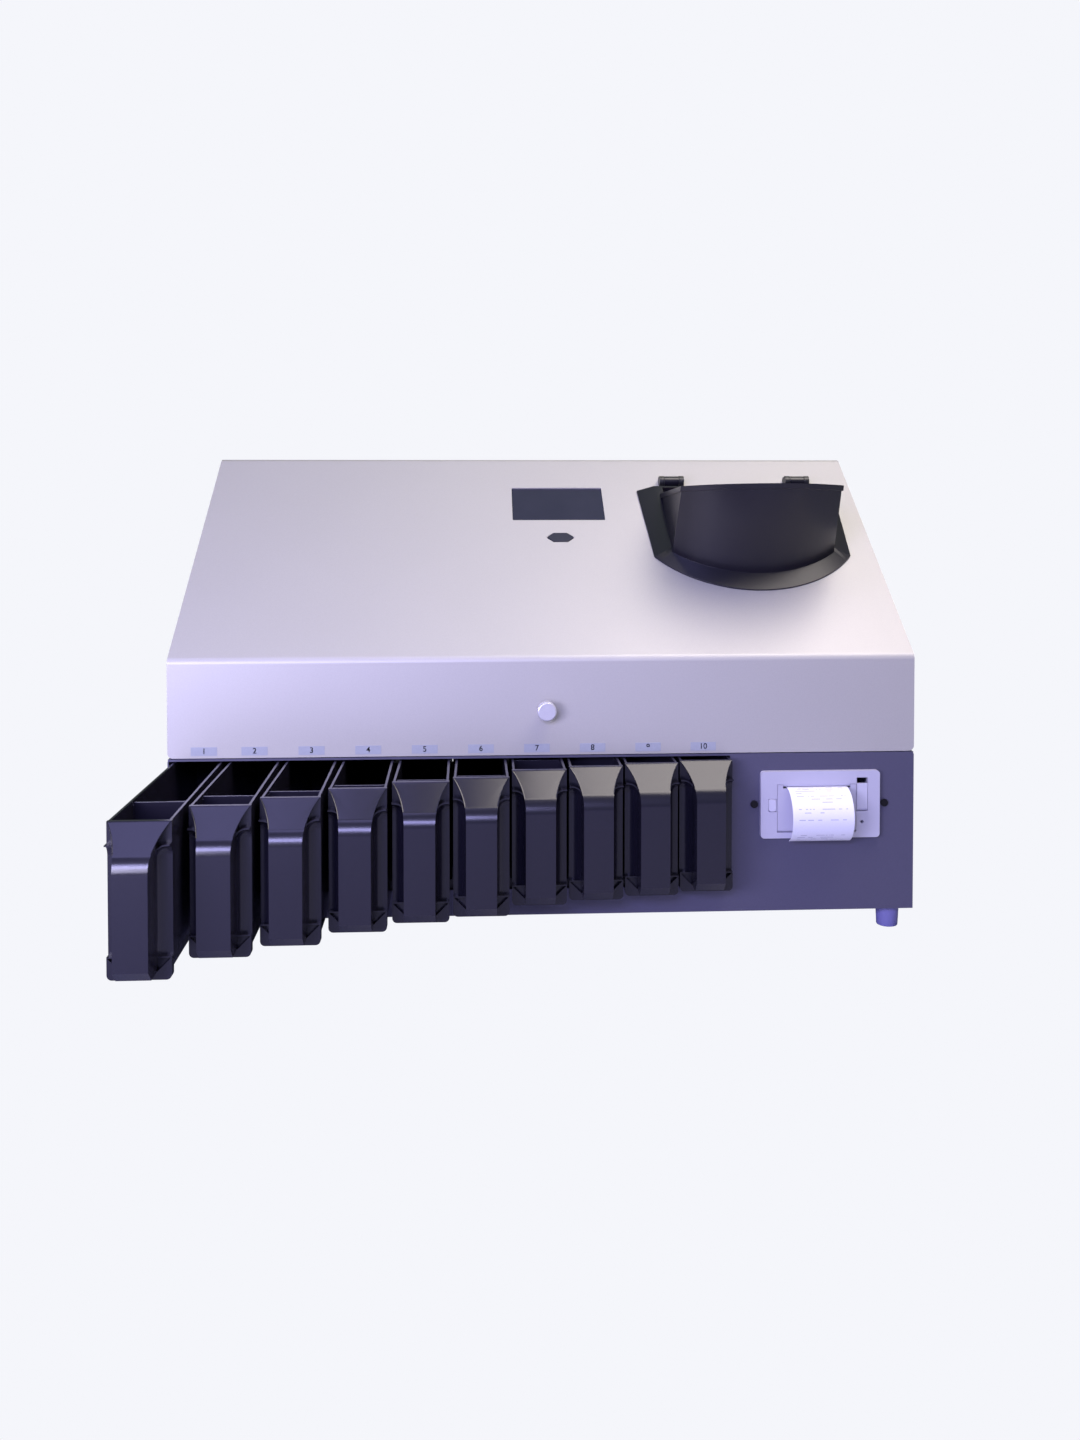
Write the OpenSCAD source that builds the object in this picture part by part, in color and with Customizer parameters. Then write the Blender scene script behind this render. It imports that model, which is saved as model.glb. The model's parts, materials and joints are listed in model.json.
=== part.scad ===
// Coin sorting machine: a counter-top sorter with ten pull-out coin drawers under a hinged sloping cover,
// a feed hopper on the cover, an inclined sorting deck inside it and a receipt printer in the front panel.
// The base's front face is built at Y = 0 and the whole machine is then moved by front_y, so that the
// origin lies on the floor in the middle of the machine as it stands with its drawers part open.

/* [Base] */
// Width of the base and of the cover
body_w = 700; // [690:1:740]
// Depth of the base, front panel to rear panel
body_d = 340; // [325:1:400]
// Height of the base above its feet
base_h = 150; // [150:1:170]
// Thickness of the base's sheet metal
base_sheet = 1.2; // [0.8:0.1:1.4]
// Width of the flanges folded in along the base's top edge
flange_w = 7; // [6:0.5:7]
// Height of the strip of front panel above the drawers
lip_h = 2; // [1.6:0.1:3]
// Outer radius of the front panel's top corners
panel_corner_r = 3; // [1:0.5:6]

/* [Feet] */
// Height of a foot
foot_h = 22; // [15:1:30]
// Radius of a foot where it stands on the floor
foot_r = 10; // [8:0.5:12]
// Radius of a foot where it meets the base
foot_top_r = 11.2; // [9:0.1:14]
// Distance of a foot's axis from the sides of the base
foot_inset = 18; // [15:1:30]

/* [Cover] */
// Thickness of the cover's sheet metal
cover_sheet = 1.5; // [1:0.1:2]
// Open seam between the base and the cover
seam = 0.8; // [0.4:0.1:1.2]
// Height of the cover's upright front face
cover_front_h = 91; // [85:1:110]
// Depth of the sloping top, front to back
slope_run = 256; // [250:1:262]
// Rise of the sloping top, front to back
slope_rise = 189.6; // [182:0.1:194]
// Outer bend radius of the cover's folds
fold_r = 4; // [2:0.5:6]
// Radius of the front face's lower corners
cover_corner_r = 5; // [2:0.5:8]
// Radius of the pull knob
knob_r = 9; // [7:0.5:12]
// How far the pull knob stands out
knob_reach = 14; // [10:1:20]
// Radius of the pull knob's neck
knob_neck_r = 5; // [4:0.5:6]
// Height of the pull knob above the cover's lower edge
knob_lift = 42.7; // [30:0.1:60]

/* [Cover hinges] */
// Radius of the hinge barrels
hinge_r = 3; // [2.6:0.1:3.6]
// Radius of the hinge pins
hinge_pin_r = 1.5; // [1.2:0.1:1.8]
// Length of one hinge knuckle
knuckle_len = 22; // [14:1:30]
// Height of a hinge leaf
leaf_h = 20; // [14:1:24]
// Thickness of a hinge leaf
leaf_t = 1.5; // [1.2:0.1:2]
// Distance of each hinge from the middle of the machine
hinge_x = 245; // [150:1:270]

/* [Drawers] */
// Number of coin drawers
drawer_count = 10; // [10:1:10]
// How far each drawer is pulled out, first to last
drawer_pulls = [200, 157, 134, 106, 85.5, 72.5, 45.5, 34, 24.5, 15]; // [0:0.5:200]
// Position of each drawer's divider behind its front face
divider_places = [65, 38, 28, 18, 14, 14, 48, 48, 48, 48]; // [12:0.5:140]
// Width of a drawer's front
drawer_w = 49.3; // [48:0.1:50]
// Gap between the fronts of neighbouring drawers
drawer_gap = 3; // [2.6:0.1:3.2]
// Height of a drawer's front
drawer_h = 121.5; // [118:0.5:122]
// Length of a drawer, front face to back
drawer_len = 288; // [270:1:292]
// Thickness of a drawer's side, back and floor
drawer_wall = 2; // [1.6:0.1:2.4]
// Thickness of a drawer's front wall
drawer_front_t = 4; // [3.6:0.1:5]
// How much narrower each side of a drawer is behind its front
drawer_step = 0.6; // [0.4:0.1:1]
// Narrowing of each side of a drawer over its whole length
drawer_taper = 2.2; // [1:0.1:3]
// Height of a drawer's underside above its front's lower edge
drawer_lift = 8; // [6:0.5:9]
// Thickness of a drawer's divider
divider_t = 2; // [1.5:0.1:2.5]
// Distance of a divider's top below the drawer's rim
divider_drop = 1.5; // [1:0.5:4]
// Gap between the first drawer and the side of the base
bay_gap = 1.6; // [1.4:0.1:2]
// Gap between the last drawer and the edge of the opening
bay_end_gap = 1; // [0.6:0.1:1.4]

/* [Drawer pulls] */
// Width of the pull's upright rib
rib_w = 26.5; // [22:0.5:30]
// How far the pull stands out
rib_reach = 28; // [22:1:32]
// Height of the pull's sloping head
flare_h = 30; // [24:1:36]
// Height of the edge between the sloping head and the rib
flare_edge_r = 8; // [4:0.5:10]
// Height of the rib's lower end above the drawer's lower edge
rib_foot = 14.7; // [12:0.1:18]
// Height of the plinth at the drawer's outer sides
plinth_h = 18; // [14:0.5:22]
// Height of the plinth beside the rib
plinth_low = 6; // [4:0.5:8]
// How far the plinth stands out
plinth_t = 3; // [2:0.1:4]
// Depth of the finger scoops in the drawer's front
scoop_depth = 2; // [1:0.1:2.4]
// Radius of the cove between the rib and a finger channel
cove_r = 9.4; // [8:0.1:9.6]
// Height of a channel's round top above the drawer's lower edge
channel_top = 104; // [98:0.5:106]
// Thickness of the hood round a channel's top
hood_t = 1.2; // [0.8:0.1:1.5]
// Thickness of the shelf at a channel's foot
shelf_t = 1.2; // [1:0.1:1.5]
// Depth of the three-cornered pocket below the shelf
foot_pocket_depth = 1.5; // [1:0.1:2]

/* [Hopper] */
// Distance of the hopper's middle from the right side of the machine
hopper_inset = 129.5; // [125:0.5:140]
// Half width of the hopper's bowl
bowl_half_w = 84.5; // [80:0.5:86]
// Radius of the bowl's curved front wall
bowl_r = 119.5; // [115:0.5:125]
// Place of the bowl's front, up the slope from the front fold
bowl_front = 111; // [108:0.5:114]
// Place of the hopper's back edge, up the slope from the front fold
bowl_back = 258; // [254:0.5:260]
// Thickness of the hopper's wall
bowl_wall = 2.5; // [2:0.1:3]
// Inward lean of the bowl's left side, degrees
lean_left = 1; // [0:0.5:4]
// Inward lean of the bowl's right side, degrees
lean_right = 6; // [0:0.5:8]
// Height of the hopper's rim above the floor, at the bowl's front
rim_z = 430; // [424:0.5:434]
// Fall of the hopper's rim towards the back, degrees
rim_fall = 3.7; // [2:0.1:5]
// Depth of the rim's rolled edge
rim_lip_h = 5; // [3:0.5:6]
// How far the rim's rolled edge stands out
rim_lip_out = 1.5; // [1:0.1:2.5]
// Width of the skirt outside the bowl, at the front
skirt_w = 18; // [14:0.5:22]
// Height of the skirt where it meets the bowl
skirt_h = 8; // [6:0.5:10]
// Thickness of the skirt's outer edge
skirt_edge = 1.5; // [1:0.1:2]
// Outward flare of the skirt's sides, degrees
skirt_flare = 3.5; // [2:0.5:5]
// Place of the hopper hinge, up the slope from the front fold
hopper_hinge_t = 270; // [269:0.5:273]
// Distance of each hopper hinge from the hopper's middle
hopper_hinge_x = 70; // [60:1:76]
// Width of a hopper hinge block
hinge_block_w = 27; // [24:1:30]
// Radius of the hopper hinge's barrel
hopper_barrel_r = 5.5; // [5:0.1:6]
// Radius of the hopper hinge's pins
hopper_pin_r = 2; // [1.6:0.1:2.4]

/* [Display and key] */
// Width of the display's window
window_w = 99; // [80:1:110]
// Height of the display's window, along the slope
window_h = 57.5; // [50:0.5:60]
// Place of the window's middle, left to right
window_x = 23; // [10:1:40]
// Place of the window's middle, up the slope
window_t = 237; // [234:0.5:240]
// Thickness of the display's window
window_glass = 2; // [1.5:0.1:3]
// Width of the menu key
key_w = 28.3; // [24:0.1:32]
// Height of the menu key, along the slope
key_h = 14.6; // [12:0.1:16]
// Place of the key's middle, up the slope
key_t = 178.7; // [172:0.1:182]
// Travel of the menu key
key_travel = 1.2; // [0.8:0.1:1.5]

/* [Printer] */
// Width of the printer's fascia
fascia_w = 113.6; // [110:0.1:118]
// Height of the printer's fascia
fascia_h = 63.4; // [60:0.1:66]
// Thickness of the printer's fascia
fascia_t = 5; // [4:0.1:6]
// Distance of the fascia's middle from the right side of the machine
fascia_inset = 91; // [85:0.5:95]
// Height of the fascia's middle above the floor
fascia_z = 123.8; // [110:0.1:130]
// Corner radius of the fascia
fascia_r = 3.5; // [2:0.5:5]
// Depth of the printer behind the front panel
printer_d = 58; // [50:1:70]
// Width of the paper door
door_w = 75.6; // [74:0.1:77]
// Height of the paper door
door_h = 45.6; // [44:0.1:47]
// Width of the receipt paper
paper_w = 57.5; // [50:0.5:60]
// Thickness of the receipt paper
paper_t = 0.4; // [0.3:0.1:0.6]
// Radius of the hanging receipt's curl
curl_r = 25; // [20:0.5:26]
// Radius of the paper roll
roll_r = 17; // [12:0.5:19]

/* [Sorting deck] */
// Depth of the deck's top below the slope
deck_drop = 34; // [32:0.5:40]
// Thickness of the deck
deck_t = 2; // [1.5:0.1:3]
// Radius of the feed disc
disc_r = 74; // [68:1:75]
// Thickness of the feed disc
disc_t = 7; // [5:0.5:9]
// Place of the feed disc's axis, up the slope
disc_place = 190; // [188:0.5:192]
// Place of the coin rail's upper edge, up the slope
rail_t = 112; // [110:0.5:113]
// Radius of the smallest coin opening
smallest_hole_r = 9; // [8:0.5:10]
// How much larger each next coin opening's radius is
hole_step = 0.6; // [0.4:0.1:0.7]
// Radius of the belt's pulleys
pulley_r = 8; // [7:0.5:9]
// Width of the drive belt
belt_w = 10; // [8:0.5:12]
// Thickness of the drive belt
belt_t = 1.5; // [1:0.1:2]
// Radius of the shafts
shaft_r = 2.5; // [2:0.1:3]
// Radial clearance of a shaft in its bore
shaft_play = 0.05; // [0.03:0.01:0.08]
// Gap between neighbouring pieces that move past each other
gap = 0.3; // [0.3:0.05:0.4]

/* [Hidden] */
// Drawers whose front is clipped on, counted from the left: the first and the third
clipped_fronts = [true, false, true, false, false, false, false, false, false, false];

$fn = 48;
far = 1000;

// Colours
slate = "#565472";
silver = "#cfcdd6";
black = "#26252e";
steel = "#9c9ea4";
lavender = "#b9b8d2";

// The base and the cover
half_w = body_w / 2;
base_top = foot_h + base_h;
pan_floor = foot_h + base_sheet;
cover_z = base_top + seam;
fold_z = cover_z + cover_front_h;
roof_z = fold_z + slope_rise;
slope_angle = atan(slope_rise / slope_run);

// The drawers
drawer_pitch = drawer_w + drawer_gap;
first_x = -half_w + base_sheet + bay_gap + drawer_w / 2;
last_x = first_x + (drawer_count - 1) * drawer_pitch;
rim_gap = 1;
drawer_z = base_top - lip_h - rim_gap - drawer_h;
bay_right = last_x + drawer_w / 2 + bay_end_gap;
body_half = drawer_w / 2 - drawer_step;
body_back_half = body_half - drawer_taper;
drawer_floor = drawer_lift + drawer_wall;
front_corner_r = 4;
cove_x = rib_w / 2 + cove_r - 0.15;
cove_y = scoop_depth - cove_r;
arch_z = channel_top - cove_r;
tray_z = drawer_z + drawer_lift - gap;
tray_front = drawer_front_t + 2 * gap;
tray_back = drawer_len + gap;
guide_w = drawer_gap + 2 * drawer_step - 6 * gap;
guide_h = 14;
stop_h = 30;
partition_x = bay_right + gap;
partition_top = base_top - base_sheet - 2;
guide_rib = 1.2;

// The hopper, measured on the slope: X across, Y up the slope, Z out of it
hopper_x = half_w - hopper_inset;
bowl_centre = bowl_front + bowl_r;
bowl_corner = bowl_centre - sqrt(pow(bowl_r, 2) - pow(bowl_half_w, 2));
skirt_front = bowl_front - skirt_w;
skirt_half = bowl_half_w + skirt_w;
skirt_r = (pow(skirt_half, 2) + pow(bowl_corner - skirt_front, 2)) / (2 * (bowl_corner - skirt_front));
skirt_centre = skirt_front + skirt_r;
barrel_h = hopper_barrel_r + gap;
bowl_h = 150;
back_bar_w = 8;
back_bar_h = 3;
hinge_ear_w = 5.5;

// The display and the menu key
window_margin = 7;
display_depth = 16;
board_t = 1.6;
board_h = -cover_sheet - window_glass - display_depth;
key_clear = 0.35;
key_cap_h = 0.6;
key_flange = 1.5;
key_stem_r = 2;
key_base = -cover_sheet - gap - 1.5;
key_stem = 5;

// The printer
fascia_x = half_w - fascia_inset;
door_x = fascia_x - 3.5;
door_z = fascia_z - 3.5;
door_top = door_z + door_h / 2;
door_low = door_z - door_h / 2;
door_clear = 0.35;
barrel_r = 2.3;
pivot_y = -fascia_t / 2 + 0.1;
door_pivot_z = door_low + door_clear + barrel_r;
slot_w = 63.8;
slot_z = door_top - 2.8;
slot_h = 2;
lever_x = fascia_x + 39.9;
lever_z = fascia_z + 9.2;
lever_w = 10.7;
lever_h = 32;
lever_pivot_z = lever_z - lever_h / 2 + door_clear + barrel_r;
lamp_drop = 10.2;
lamp_r = 1.6;
button_x = fascia_x - 45.8;
button_z = fascia_z - 0.4;
button_w = 7;
button_h = 11.6;
button_travel = 0.8;
button_flange = 1;
pocket_depth = button_flange + button_travel + 2 * gap;
button_rim = 1.6;
printer_half_w = fascia_w / 2 - 7;
printer_half_h = fascia_h / 2 - 5;
printer_wall = 2;
cutout_gap = 0.4;
screw_x = fascia_w / 2 + 5.5;
screw_r = 3.6;
screw_head_h = 2;
screw_len = 10;
roll_y = 30;
roll_z = fascia_z - 4;
core_r = 6;

// The deck, measured on the slope
deck_top = -deck_drop;
deck_under = deck_top - deck_t;
deck_low = 10;
deck_high = 276;
side_plate_t = 2;
side_plate_x = half_w - cover_sheet - 2;
ring_r = disc_r + 2;
ring_t = 2.5;
ring_top = -9;
rail_w = 6;
rail_h = 3;
rail_end = hopper_x - 40;
pulley_h = deck_top + 3.5 + pulley_r + belt_t;
belt_mid = rail_t + 10;
drive_x = first_x - 6;
idler_x = hopper_x - 60;
bracket_t0 = belt_mid + belt_w / 2 + 1.3;
bracket_t = 2;
duct_w = 43.6;
duct_d = 37;
duct_y = 105;
duct_wall = 1.5;
duct_bottom = base_top;
disc_shaft_r = 5;
disc_shaft_h = 20;
gearbox_r = 38;
gearbox_h = 26;
disc_motor_r = 22;
disc_motor_h = 54;
motor_r = 11.5;
motor_len = 38;
motor_bore = 11;

// The rear fittings
inlet_x = half_w - 90;
inlet_z = foot_h + 42;
inlet_w = 48;
inlet_h = 28;
inlet_t = 2.5;
rocker_x = inlet_x - 15;
rocker_w = 11;
rocker_h = 19;
rocker_y = body_d + 1.5;
unit_side_clear = 25;
supply_w = 140;
supply_d = 110;
supply_h = 40;
supply_x = half_w - unit_side_clear - supply_w;
supply_back = body_d - 30;
control_w = 130;
control_h = 72;
control_x = half_w - unit_side_clear - control_w;
control_z = pan_floor + supply_h + 26;
control_y = body_d - base_sheet - 9;
chip_t = 3;
capacitor_r = 5;
capacitor_h = 14;

// The cover's hinges
hinge_gap = 0.2;
hinge_y = body_d + hinge_gap + hinge_r;
hinge_z = base_top + seam / 2;

// The machine stands with its deepest drawer's pull and its hinges equally far from the origin
reach_front = max(drawer_pulls) + rib_reach;
reach_back = hinge_y + hinge_r;
front_y = (reach_front - reach_back) / 2;

function unit(v) = v / norm(v);
function half_angle(p, a, b) = acos(unit(a - p) * unit(b - p)) / 2;
function tangent_points(p, a, b, r) =
    let (d = r / tan(half_angle(p, a, b))) [p + d * unit(a - p), p + d * unit(b - p)];
function arc_centre(p, a, b, r) =
    p + unit(unit(a - p) + unit(b - p)) * r / sin(half_angle(p, a, b));
function before(list, i) = list[(i + len(list) - 1) % len(list)];
function after(list, i) = list[(i + 1) % len(list)];
function left_of(d) = [-d[1], d[0]];

// A convex outline, counter-clockwise, with its sides moved in by t
function inset(points, t) = [
    for (i = [0:len(points) - 1])
        let (n0 = left_of(unit(points[i] - before(points, i))),
             n1 = left_of(unit(after(points, i) - points[i])))
            points[i] + t * (n0 + n1) / (1 + n0 * n1)];

function drawer_x(i) = first_x + i * drawer_pitch;
function hole_r(i) = smallest_hole_r + (drawer_count - 1 - i) * hole_step;

// A convex outline with its corners rounded to the radii given; 0 leaves a corner sharp
module rounded(points, radii) {
    polygon([
        for (i = [0:len(points) - 1])
            each (radii[i] > 0
                ? tangent_points(points[i], before(points, i), after(points, i), radii[i])
                : [points[i]])]);
    for (i = [0:len(points) - 1])
        if (radii[i] > 0)
            translate(arc_centre(points[i], before(points, i), after(points, i), radii[i]))
                circle(r = radii[i]);
}

// A rectangle about the origin with all its corners rounded
module rounded_rect(w, h, r) {
    rounded([[-w / 2, -h / 2], [w / 2, -h / 2], [w / 2, h / 2], [-w / 2, h / 2]], [r, r, r, r]);
}

// An outline in X and Z, extruded from y0 to y1
module along_y(y0, y1) {
    translate([0, y1, 0])
        rotate([90, 0, 0])
            linear_extrude(y1 - y0)
                children();
}

// An outline in Y and Z, extruded from x0 to x1
module along_x(x0, x1) {
    translate([x0, 0, 0])
        rotate([90, 0, 90])
            linear_extrude(x1 - x0)
                children();
}

// A box between two corners
module block(low, high) {
    translate(low)
        cube(high - low);
}

// A rod from y0 to y1
module rod_y(x, z, r, y0, y1) {
    translate([x, y1, z])
        rotate([90, 0, 0])
            cylinder(r = r, h = y1 - y0);
}

// A rod from x0 to x1
module rod_x(y, z, r, x0, x1) {
    translate([x0, y, z])
        rotate([0, 90, 0])
            cylinder(r = r, h = x1 - x0);
}

// The slope's own frame: X across, Y up the slope from the front fold, Z out of the cover
module on_slope() {
    translate([0, 0, fold_z])
        rotate([slope_angle, 0, 0])
            children();
}

module mirrored_x() {
    children();
    mirror([1, 0, 0])
        children();
}

// ---- Base ----

module base_pan() {
    color(slate) {
        block([-half_w, base_sheet, foot_h], [half_w, body_d, pan_floor]);
        mirrored_x() {
            block([half_w - base_sheet, base_sheet, foot_h], [half_w, body_d, base_top]);
            block([half_w - flange_w, base_sheet, base_top - base_sheet], [half_w, body_d, base_top]);
        }
    }
}

module front_panel() {
    color(slate) {
        difference() {
            along_y(0, base_sheet)
                difference() {
                    rounded(
                        [[-half_w, foot_h], [half_w, foot_h], [half_w, base_top], [-half_w, base_top]],
                        [0, 0, panel_corner_r, panel_corner_r]);
                    translate([-half_w + base_sheet, drawer_z - rim_gap])
                        square([bay_right + half_w - base_sheet, drawer_h + 2 * rim_gap]);
                    translate([fascia_x, fascia_z])
                        square([2 * (printer_half_w + cutout_gap), 2 * (printer_half_h + cutout_gap)],
                            center = true);
                    for (s = [-1, 1])
                        translate([fascia_x + s * screw_x, fascia_z])
                            circle(r = screw_r / 2);
                }
        }
        block([-half_w + flange_w, base_sheet, base_top - base_sheet],
            [half_w - flange_w, base_sheet + flange_w, base_top]);
    }
}

module rear_panel() {
    slot_step = 9;
    slot_size = [3, 34];
    color(slate) {
        difference() {
            block([-half_w + base_sheet, body_d - base_sheet, pan_floor],
                [half_w - base_sheet, body_d, base_top - base_sheet]);
            along_y(body_d - 2 * base_sheet, body_d + 1)
                translate([inlet_x, inlet_z])
                    square([inlet_w - 6, inlet_h - 6], center = true);
            for (side = [-1, 1], i = [0:13])
                along_y(body_d - 2 * base_sheet, body_d + 1)
                    translate([side * 110 - 58.5 + i * slot_step, foot_h + 70])
                        square(slot_size);
        }
        for (x = [6, control_w - 6], z = [6, control_h - 6])
            rod_y(control_x + x, control_z + z, 2.5, control_y + board_t, body_d - base_sheet);
    }
}

// The bay's floor with its guide rails, legs, back stop and the wall beside the printer
module drawer_tray() {
    left = -half_w + base_sheet;
    right = partition_x + base_sheet;
    color(steel) {
        block([left, tray_front, tray_z - base_sheet], [right, tray_back + base_sheet, tray_z]);
        block([left, tray_front, pan_floor], [right, tray_front + base_sheet, tray_z]);
        block([left, tray_back, pan_floor], [right, tray_back + base_sheet, tray_z + stop_h]);
        block([partition_x, tray_front, tray_z], [right, tray_back, partition_top]);
        for (i = [1:drawer_count - 1])
            translate([drawer_x(i) - drawer_pitch / 2, 0, 0])
                block([-guide_w / 2, tray_front, tray_z], [guide_w / 2, tray_back, tray_z + guide_h]);
    }
}

module feet() {
    color("#8a86b0")
        for (x = [-1, 1], y = [foot_inset + 3, body_d - foot_inset - 3])
            translate([x * (half_w - foot_inset), y, 0])
                cylinder(r1 = foot_r, r2 = foot_top_r, h = foot_h);
}

module hinge_leaf_pair(moving) {
    span = 3 * knuckle_len;
    dir = moving ? 1 : -1;
    clear = hinge_r + 0.5;
    for (s = [-1, 1])
        translate([s * hinge_x, 0, 0]) {
            difference() {
                union() {
                    block([-span / 2, body_d, moving ? cover_z + 0.4 : hinge_z - leaf_h],
                        [span / 2, body_d + leaf_t, moving ? hinge_z + leaf_h : base_top - 0.4]);
                    for (k = [-1, 0, 1])
                        if (moving == (k == 0))
                            rod_x(hinge_y, hinge_z, hinge_r, k * knuckle_len - knuckle_len / 2 + gap / 2,
                                k * knuckle_len + knuckle_len / 2 - gap / 2);
                }
                for (k = [-1, 0, 1])
                    if (moving != (k == 0))
                        block([(k - 0.5) * knuckle_len - gap / 2, body_d - 1, hinge_z - clear],
                            [(k + 0.5) * knuckle_len + gap / 2, body_d + clear + 1, hinge_z + clear]);
                if (moving)
                    rod_x(hinge_y, hinge_z, hinge_pin_r + shaft_play, -span, span);
            }
            if (!moving)
                rod_x(hinge_y, hinge_z, hinge_pin_r, -span / 2 + gap, span / 2 - gap);
        }
}

module hinge_fixed_leaves() {
    color(steel)
        hinge_leaf_pair(false);
}

module hinge_moving_leaves() {
    color(steel)
        hinge_leaf_pair(true);
}

// ---- Drawers ----

// Outline of the pull in X and Z: an upright rib that widens in two arcs to the full rim
module pull_outline() {
    flare_out = drawer_w / 2 - rib_w / 2;
    arc_r = (pow(flare_out, 2) + pow(flare_h, 2)) / (2 * flare_out);
    difference() {
        translate([-drawer_w / 2, plinth_low])
            square([drawer_w, drawer_h - plinth_low]);
        for (s = [-1, 1]) {
            translate([s * (rib_w / 2 + arc_r), drawer_h - flare_h])
                circle(r = arc_r, $fn = 96);
            translate([s > 0 ? rib_w / 2 : -drawer_w, 0])
                square([drawer_w - rib_w / 2, drawer_h - flare_h]);
        }
    }
}

// Side view of the pull in Y and Z: the sloping head, its rounded edge, the rib and its foot
module pull_side() {
    rounded(
        [[0, drawer_h], [-rib_reach, drawer_h - flare_h + flare_edge_r / 2],
         [-rib_reach, rib_foot], [-plinth_t, plinth_low], [0, plinth_low]],
        [0, flare_edge_r, 2, 0, 0]);
}

// The tub: a clipped front closes it from outside, and otherwise tub and front are one moulding
module drawer_tub(clipped) {
    tub_front = clipped ? drawer_front_t + gap : drawer_front_t / 2;
    hollow_front = clipped ? 0 : drawer_front_t;
    difference() {
        linear_extrude(drawer_h)
            polygon([[-body_half, tub_front], [body_half, tub_front],
                [body_back_half, drawer_len], [-body_back_half, drawer_len]]);
        translate([0, 0, -1])
            linear_extrude(drawer_lift + 1)
                translate([-drawer_w, -1])
                    square([2 * drawer_w, drawer_len + 2]);
        translate([0, 0, drawer_floor])
            linear_extrude(drawer_h)
                polygon([[-body_half + drawer_wall, hollow_front],
                    [body_half - drawer_wall, hollow_front],
                    [body_back_half - drawer_wall, drawer_len - drawer_wall],
                    [-body_back_half + drawer_wall, drawer_len - drawer_wall]]);
    }
}

// What a finger channel takes away beside the rib: a cove that ends in a round arch
module finger_channel() {
    translate([cove_x, cove_y, 0]) {
        translate([0, 0, plinth_h])
            cylinder(r = cove_r, h = arch_z - plinth_h);
        translate([0, 0, arch_z])
            sphere(r = cove_r);
        translate([0, 0, arch_z])
            rotate([0, 90, 0])
                cylinder(r = cove_r, h = drawer_w);
        block([0, -drawer_w, plinth_h], [drawer_w, cove_r, arch_z]);
    }
}

// The hood that carries the cove and its arch, beside the rib
module channel_hood() {
    along_y(cove_y, drawer_front_t / 2)
        intersection() {
            union() {
                translate([0, plinth_h])
                    square([drawer_w, arch_z - plinth_h]);
                translate([cove_x, arch_z])
                    circle(r = cove_r + hood_t);
            }
            translate([rib_w / 4, 0])
                square([drawer_w / 2 - rib_w / 4, drawer_h]);
        }
}

// The three-cornered pocket below the shelf, beside the rib
module foot_pocket() {
    along_y(-plinth_t - 1, foot_pocket_depth)
        polygon([[rib_w / 2, plinth_low], [drawer_w / 2, plinth_h - shelf_t],
            [rib_w / 2, plinth_h - shelf_t]]);
}

// The drawer's front with its finger channels, shelves and pockets
module drawer_front() {
    difference() {
        union() {
            along_y(0, drawer_front_t)
                rounded([[-drawer_w / 2, 0], [drawer_w / 2, 0],
                    [drawer_w / 2, drawer_h], [-drawer_w / 2, drawer_h]],
                    [front_corner_r, front_corner_r, 0, 0]);
            mirrored_x()
                channel_hood();
            along_y(-plinth_t, drawer_front_t / 2)
                rounded([[-drawer_w / 2, 0], [drawer_w / 2, 0],
                    [drawer_w / 2, plinth_h], [-drawer_w / 2, plinth_h]],
                    [front_corner_r, front_corner_r, 0, 0]);
        }
        mirrored_x() {
            finger_channel();
            foot_pocket();
        }
    }
}

// Half the tub's inner width at a distance behind its front
function inner_half(y) =
    body_half - drawer_wall - drawer_taper * (y - drawer_front_t) / (drawer_len - drawer_front_t);

module divider_guides(place) {
    for (s = [-1, 1], side = [-1, 1])
        translate([side * inner_half(place), place + s * (divider_t / 2 + gap / 2 + guide_rib / 2), 0])
            block([-guide_rib, -guide_rib / 2, drawer_floor - 0.2],
                [guide_rib, guide_rib / 2, drawer_h - divider_drop - 2]);
}

module coin_drawer(i) {
    color(black)
        translate([drawer_x(i), -drawer_pulls[i], drawer_z]) {
            drawer_tub(clipped_fronts[i]);
            drawer_front();
            intersection() {
                along_y(-rib_reach - 1, 0)
                    pull_outline();
                along_x(-drawer_w, drawer_w)
                    pull_side();
            }
            divider_guides(divider_places[i]);
        }
}

module drawer_divider(i) {
    place = divider_places[i];
    half = inner_half(place) - gap;
    color(black)
        translate([drawer_x(i), place - drawer_pulls[i], drawer_z])
            block([-half, -divider_t / 2, drawer_floor], [half, divider_t / 2, drawer_h - divider_drop]);
}

// ---- Cover ----

function cover_profile() = [
    [0, cover_z], [body_d, cover_z], [body_d, roof_z], [slope_run, roof_z], [0, fold_z]];

// Plan of the hopper's bowl, moved in by a distance: a round front and straight sides
module bowl_plan(inward) {
    intersection() {
        translate([0, bowl_centre])
            circle(r = bowl_r - inward, $fn = 128);
        translate([-bowl_half_w + inward, 0])
            square([2 * (bowl_half_w - inward), bowl_back - inward]);
    }
}

module key_outline(grow) {
    w = key_w / 2 + grow;
    h = key_h / 2 + grow;
    rounded([[-w, 0], [-w + h, -h], [w - h, -h], [w, 0], [w - h, h], [-w + h, h]], [2, 1, 1, 2, 1, 1]);
}

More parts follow.
